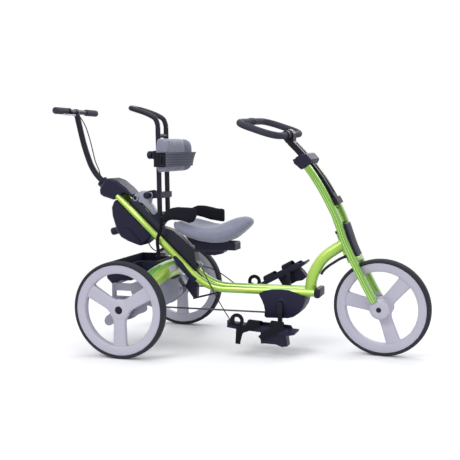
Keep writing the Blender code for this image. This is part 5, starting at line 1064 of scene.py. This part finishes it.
# Outlines below are (x, z) points from the rear axle
CRANK = at(0.610, 0, 0.207)
CASE_HALF = 0.0530
CLAMP_HALF = 0.0575
STRUT_Y = -0.034
HIP_Y, HIP_INWARD = -0.125, 0.056
HIP_STRAP_HALF, HIP_STRAP_T = 0.0078, 0.0009
HIP_LINE = [(0.0985, 0.568), (0.090, 0.548), (0.078, 0.525), (0.064, 0.499), (0.0525, 0.463), (0.055, 0.419),
            (0.059, 0.388)]
CLAMP_LOW = [(0.1164, 0.3884), (0.1395, 0.3522), (0.1678, 0.3213), (0.1909, 0.2976), (0.2141, 0.2789)]
CLAMP_HIGH = [(0.1297, 0.3962), (0.1607, 0.3677), (0.1838, 0.3391), (0.2042, 0.3153), (0.2299, 0.2968)]
CASE = [(0.509, 0.2437), (0.534, 0.2525), (0.5706, 0.2550), (0.6096, 0.2555), (0.6435, 0.2550), (0.6840, 0.2500),
        (0.7085, 0.2380), (0.7120, 0.2240), (0.7040, 0.1960), (0.6860, 0.1680), (0.6620, 0.1516), (0.6383, 0.1455),
        (0.5453, 0.1424), (0.5356, 0.1492), (0.5384, 0.1731), (0.5337, 0.1971), (0.5236, 0.2207)]


ARM = [(-0.0936, 0.6489), (-0.0835, 0.6603), (-0.0661, 0.6662), (-0.0487, 0.6762), (-0.0243, 0.6764),
       (-0.0074, 0.6711), (0.0100, 0.6655), (0.0126, 0.6508), (-0.0032, 0.6386), (-0.0055, 0.6230),
       (0.0082, 0.6052), (0.0271, 0.5787), (0.0244, 0.5675), (0.0051, 0.5716), (-0.0186, 0.6027),
       (-0.0451, 0.6216), (-0.0696, 0.6258), (-0.0906, 0.6332)]
ARM_BOSSES = [(-0.0731, 0.6449), (-0.0010, 0.6576)]
ARM_HALF = 0.0160
SEAT_BLOCK = [(0.1450, 0.5000), (0.1500, 0.5080), (0.1670, 0.4940), (0.2070, 0.4770), (0.2550, 0.4630),
              (0.2960, 0.4570), (0.2980, 0.4150), (0.2000, 0.4400)]


class TRIKE_OT_covers(bpy.types.Operator):
    """Moulded covers: beam clamp, chain case, tube end cap and fork cover, with the hubs' cast discs."""
    bl_idname = "trike.covers"
    bl_label = "Covers"

    def side(self, bm, outline, half, bevel, segments=3):
        """An outline of (x, z) points, carried across the machine from -half to half."""
        return slab(bm, [at(x, -half, z) for x, z in outline], Vector((0, 2 * half, 0)), bevel, segments)

    def clamp(self):
        bm = bmesh.new()
        self.side(bm, CLAMP_LOW + list(reversed(CLAMP_HIGH)), CLAMP_HALF, 0.0035)
        self.side(bm, [(0.158, 0.2560), (0.1800, 0.2955), (0.2080, 0.2860), (0.2150, 0.2773), (0.2130, 0.2127),
                       (0.2080, 0.2010), (0.2000, 0.1996)], 0.018, 0.003)
        swept(bm, [at(0.2039, STRUT_Y, 0.2053), at(0.330, STRUT_Y, 0.2400)], 0.0042, 16)
        piece(bm, "tube_clamp", "moulded_abs", "frame", 35, ("beam_clamp",))

    def case(self):
        bm = bmesh.new()
        self.side(bm, CASE, CASE_HALF, 0.003)
        crown = [(0.5110, 0.2440), (0.534, 0.2585), (0.5706, 0.2663), (0.6096, 0.2683), (0.6435, 0.2655),
                 (0.6840, 0.2530)] + CASE[6:]
        for sign in (-1, 1):
            y = sign * (CASE_HALF + 0.0002)
            slab(bm, [at(x, y, z) for x, z in crown], Vector((0, sign * 0.0068, 0)), 0.0050, 5)
            boss = [(0, 0), (0.0260, 0), (0.0225, 0.0025), (0.0205, 0.0065), (0.0180, 0.0078), (0.0125, 0.0078),
                    (0.0120, 0.0060), (0, 0.0060)]
            spun(bm, boss, CRANK + Vector((0, sign * (CASE_HALF + 0.0060), 0)), (0, sign, 0), 36)
        piece(bm, "chain_shell", "moulded_abs", "frame", 35, ("chain_case",))

    def caps(self):
        bm = bmesh.new()
        brick(bm, at(NOSE_X + 0.0003, -0.054, LOW_Z - 0.0205), at(NOSE_X + 0.0245, 0.054, LOW_Z + 0.0195),
              0.0075, 4)
        piece(bm, "tube_end_cap", "moulded_abs", "frame", 35, ("frame_end_cap",))
        outline = [(0.8850, 0.5495), (0.8950, 0.520), (0.9120, 0.470), (0.9290, 0.430), (0.9350, 0.419),
                   (0.918, 0.428), (0.904, 0.4395), (0.8925, 0.470), (0.8815, 0.505), (0.874, 0.538),
                   (0.8780, 0.5530)]
        bm = bmesh.new()
        slab(bm, [steered(at(x, -0.0325, z)) for x, z in outline], STEERED @ Vector((0, 0.065, 0)), 0.0025, 3)
        piece(bm, "front_cover", "moulded_abs", "steering_fork", 35, ("fork_cover",))

    def discs(self):
        bm = bmesh.new()
        for side in (-1, 1):
            disc = [(0, 0.0), (0.0405, 0.0), (0.0425, 0.0015), (0.0430, 0.0050), (0.0430, 0.0100),
                    (0.0415, 0.0140), (0.0370, 0.0175), (0.0270, 0.0200), (0.0120, 0.0208), (0, 0.0208)]
            spun(bm, disc, FRONT_AXLE + Vector((0, side * 0.0300, 0)), (0, side, 0), 48)
        bmesh.ops.rotate(bm, verts=bm.verts, cent=FRONT_AXLE, matrix=STEERED)
        piece(bm, "hub_discs", "glass_filled_nylon", "steering_fork", 35)

    def arm(self):
        """Cast arm behind the backrest, with a bored boss at each end."""
        bm = bmesh.new()
        self.side(bm, ARM, ARM_HALF, 0.004)
        for x, z in ARM_BOSSES:
            boss = [(0, 0), (0.0150, 0), (0.0150, 0.0050), (0.0130, 0.0068), (0.0085, 0.0068), (0.0080, 0.0045),
                    (0, 0.0045)]
            spun(bm, boss, at(x, 0.0005 - ARM_HALF, z), (0, -1, 0), 28)
        piece(bm, "cast_arm", "cast_aluminium", "frame", 35, ("backrest_bracket",))
        bm = bmesh.new()
        for x, z in ARM_BOSSES:
            bolt = [(0, 0), (0.0082, 0), (0.0082, 0.0012), (0, 0.0018)]
            spun(bm, bolt, at(x, -ARM_HALF - 0.0042, z), (0, -1, 0), 24)
        piece(bm, "arm_bolts", "black_polyamide", "frame", 35)

    def block(self):
        """Dark block that fills the space between the carriage and the cushion's underside."""
        bm = bmesh.new()
        self.side(bm, SEAT_BLOCK, 0.022, 0.003)
        piece(bm, "seat_block", "satin_black_paint", "seat_base", 35)

    def hose(self):
        bm = bmesh.new()
        knots = [at(0.7700, 0, 0.3300), at(0.7790, 0, 0.3450), at(0.7985, 0, 0.3640), at(0.8260, 0, 0.3830),
                 at(0.8480, 0, 0.3972), at(0.8653, 0, 0.4056)]
        swept(bm, curve_through(knots, 6), 0.0056, 18)
        piece(bm, "front_hose", "braided_cord", "frame", 40, ("front_cable",))

    def execute(self, context):
        self.clamp()
        self.case()
        self.caps()
        self.discs()
        self.arm()
        self.block()
        self.hose()
        return {'FINISHED'}


ANKLE = [(0.4467, 0.0537), (0.4641, 0.0515), (0.4772, 0.0982), (0.5601, 0.1293), (0.5340, 0.1559),
         (0.5121, 0.1515), (0.4685, 0.1204)]
TOE = [(0.6256, 0.1470), (0.6520, 0.1559), (0.6540, 0.1204), (0.5951, 0.0937), (0.5601, 0.0670), (0.5427, 0.0893)]


class TRIKE_OT_straps(bpy.types.Operator):
    """Flat straps: the hip strap and the slanting bands beside the near foot."""
    bl_idname = "trike.straps"
    bl_label = "Straps"

    def hip(self):
        bm = bmesh.new()
        line = curve_through([Vector((x, 0, z)) for x, z in HIP_LINE], 5)
        rings = []
        for i, spot in enumerate(line):
            before, after = line[max(i - 1, 0)], line[min(i + 1, len(line) - 1)]
            aside = (after - before).normalized().cross(Vector((0, 1, 0))) * HIP_STRAP_HALF
            drop = min(max((line[0].z - spot.z) / 0.06, 0), 1)
            here = at(spot.x, HIP_Y + HIP_INWARD * drop, spot.z)
            thick = Vector((0, HIP_STRAP_T, 0))
            rings.append([here - aside - thick, here - aside * 0.86 - thick * 1.8,
                          here + aside * 0.86 - thick * 1.8, here + aside - thick, here + aside + thick,
                          here - aside + thick])
        lofted(bm, rings)
        piece(bm, "hip_belt", "black_webbing", "seat", 30, ("hip_strap",))

    def foot(self):
        bm = bmesh.new()
        for outline, y in ((ANKLE, -0.1750), (TOE, -0.1752)):
            corners = rounded([at(x, y, z) for x, z in outline], 0.005, 3)
            slab(bm, corners, Vector((0, -0.0022, 0)), 0.0006, 2)
        piece(bm, "foot_bands_right", "black_webbing", "pedal_right", 30)

    def execute(self, context):
        self.hip()
        self.foot()
        return {'FINISHED'}


CAMERA_AT = at(1.492, -3.3489, 0.8606)
TURN_DEG, TILT_DEG, ROLL_DEG = 18.5798, 5.6913, -0.5843
FOCAL_SHARE = 816.18 / 460


class TRIKE_OT_stage(bpy.types.Operator):
    """Pale floor, soft studio lamps, white surroundings and the camera."""
    bl_idname = "trike.stage"
    bl_label = "Stage"

    def camera(self):
        data = bpy.data.cameras.new("camera")
        data.sensor_width = 36.0
        data.lens = 36.0 * FOCAL_SHARE
        data.clip_end = 60
        made = bpy.data.objects.new("camera", data)
        bpy.context.scene.collection.objects.link(made)
        turn, tilt = math.radians(TURN_DEG), math.radians(TILT_DEG)
        back = Vector((math.sin(turn) * math.cos(tilt), -math.cos(turn) * math.cos(tilt), math.sin(tilt)))
        right = Vector((math.cos(turn), math.sin(turn), 0))
        up = back.cross(right)
        basis = Matrix((right, up, back)).transposed() @ Matrix.Rotation(math.radians(ROLL_DEG), 3, 'Z')
        made.matrix_world = Matrix.Translation(CAMERA_AT) @ basis.to_4x4()
        bpy.context.scene.camera = made

    def floor(self):
        bm = bmesh.new()
        bmesh.ops.create_grid(bm, x_segments=2, y_segments=2, size=30.0)
        mesh = bpy.data.meshes.new("floor")
        bm.to_mesh(mesh)
        bm.free()
        made = bpy.data.objects.new("floor", mesh)
        bpy.context.scene.collection.objects.link(made)
        mesh.materials.append(self.paper())

    def paper(self):
        """Matt white paper. Towards the lens it shows white, with the object's shadow on it."""
        made = bpy.data.materials.new("floor_paper")
        made.use_nodes = True
        tree = made.node_tree
        shader = tree.nodes["Principled BSDF"]
        clear = add(tree, "ShaderNodeBsdfTransparent")
        spot = add(tree, "ShaderNodeTexCoord").outputs["Object"]
        away = add(tree, "ShaderNodeVectorMath", {"operation": 'LENGTH'}, Vector=spot)
        fade = add(tree, "ShaderNodeMapRange", {"interpolation_type": 'SMOOTHSTEP'}, Value=away.outputs["Value"],
                   From_Min=0.9, From_Max=1.9)
        mix = add(tree, "ShaderNodeMixShader", i0=fade.outputs["Result"], i1=shader.outputs[0], i2=clear.outputs[0])
        tree.links.new(mix.outputs[0], tree.nodes["Material Output"].inputs["Surface"])
        shader.inputs["Base Color"].default_value = (0.90, 0.90, 0.91, 1)
        shader.inputs["Roughness"].default_value = 0.9
        shader.inputs["Specular IOR Level"].default_value = 0.1
        return made

    def world(self):
        world = bpy.data.worlds.new("studio")
        world.use_nodes = True
        bpy.context.scene.world = world
        tree = world.node_tree
        tree.nodes.clear()
        soft = add(tree, "ShaderNodeBackground", Color=(0.94, 0.95, 1.0, 1), Strength=0.62)
        white = add(tree, "ShaderNodeBackground", Color=(1, 1, 1, 1), Strength=1.0)
        path = add(tree, "ShaderNodeLightPath")
        gloss = add(tree, "ShaderNodeMath", {"operation": 'MAXIMUM'}, i0=path.outputs["Is Camera Ray"],
                    i1=path.outputs["Is Glossy Ray"])
        seen = add(tree, "ShaderNodeMath", {"operation": 'MAXIMUM'}, i0=gloss.outputs[0],
                   i1=path.outputs["Is Transmission Ray"])
        mix = add(tree, "ShaderNodeMixShader", i0=seen.outputs[0], i1=soft.outputs[0], i2=white.outputs[0])
        add(tree, "ShaderNodeOutputWorld", Surface=mix.outputs[0])

    def lamp(self, name, place, aim, size, power, colour=(1, 1, 1)):
        data = bpy.data.lights.new(name, 'AREA')
        data.shape = 'RECTANGLE'
        data.size, data.size_y = size
        data.energy = power * sizes().lamp_level
        data.color = colour
        made = bpy.data.objects.new(name, data)
        bpy.context.scene.collection.objects.link(made)
        way = Vector(aim) - Vector(place)
        made.matrix_world = Matrix.Translation(place) @ way.to_track_quat('-Z', 'Y').to_matrix().to_4x4()

    def execute(self, context):
        context.scene.view_settings.view_transform = 'Standard'
        self.world()
        self.floor()
        self.lamp("key", (-1.6, -3.4, 3.4), (0.1, 0, 0.5), (2.4, 1.8), 95)
        self.lamp("fill", (3.2, -2.6, 1.8), (0.1, 0, 0.5), (2.6, 2.0), 42)
        self.lamp("top", (0.0, 0.4, 4.2), (0, 0, 0.4), (3.0, 3.0), 70)
        self.lamp("rim", (0.5, 3.2, 2.4), (0, 0, 0.5), (3.0, 1.2), 40)
        self.camera()
        return {'FINISHED'}


STEPS = ["finishes", "frame", "fork", "handlebar", "bars", "wheels", "covers", "pads", "straps", "stage"]


class TRIKE_PT_panel(bpy.types.Panel):
    """Lists the tricycle's pieces in the sidebar."""
    bl_idname = "TRIKE_PT_panel"
    bl_label = "Tricycle"
    bl_space_type = 'VIEW_3D'
    bl_region_type = 'UI'
    bl_category = "Tricycle"

    def draw(self, context):
        layout = self.layout
        for group in (context.scene.trike_finish, context.scene.trike_sizes):
            for name in group.bl_rna.properties.keys():
                if name not in {"rna_type", "name"}:
                    layout.prop(group, name)
        for step in STEPS:
            layout.operator(f"trike.{step}")


CLASSES = (TrikeFinish, TrikeSizes, TRIKE_OT_finishes, TRIKE_OT_frame, TRIKE_OT_fork, TRIKE_OT_handlebar,
           TRIKE_OT_bars, TRIKE_OT_wheels, TRIKE_OT_covers, TRIKE_OT_pads, TRIKE_OT_straps, TRIKE_OT_stage,
           TRIKE_PT_panel)


def register():
    for cls in CLASSES:
        bpy.utils.register_class(cls)
    bpy.types.Scene.trike_finish = PointerProperty(type=TrikeFinish)
    bpy.types.Scene.trike_sizes = PointerProperty(type=TrikeSizes)


def unregister():
    del bpy.types.Scene.trike_sizes
    del bpy.types.Scene.trike_finish
    for cls in reversed(CLASSES):
        bpy.utils.unregister_class(cls)


def main():
    register()
    for step in STEPS:
        getattr(bpy.ops.trike, step)()


if __name__ == "__main__":
    main()
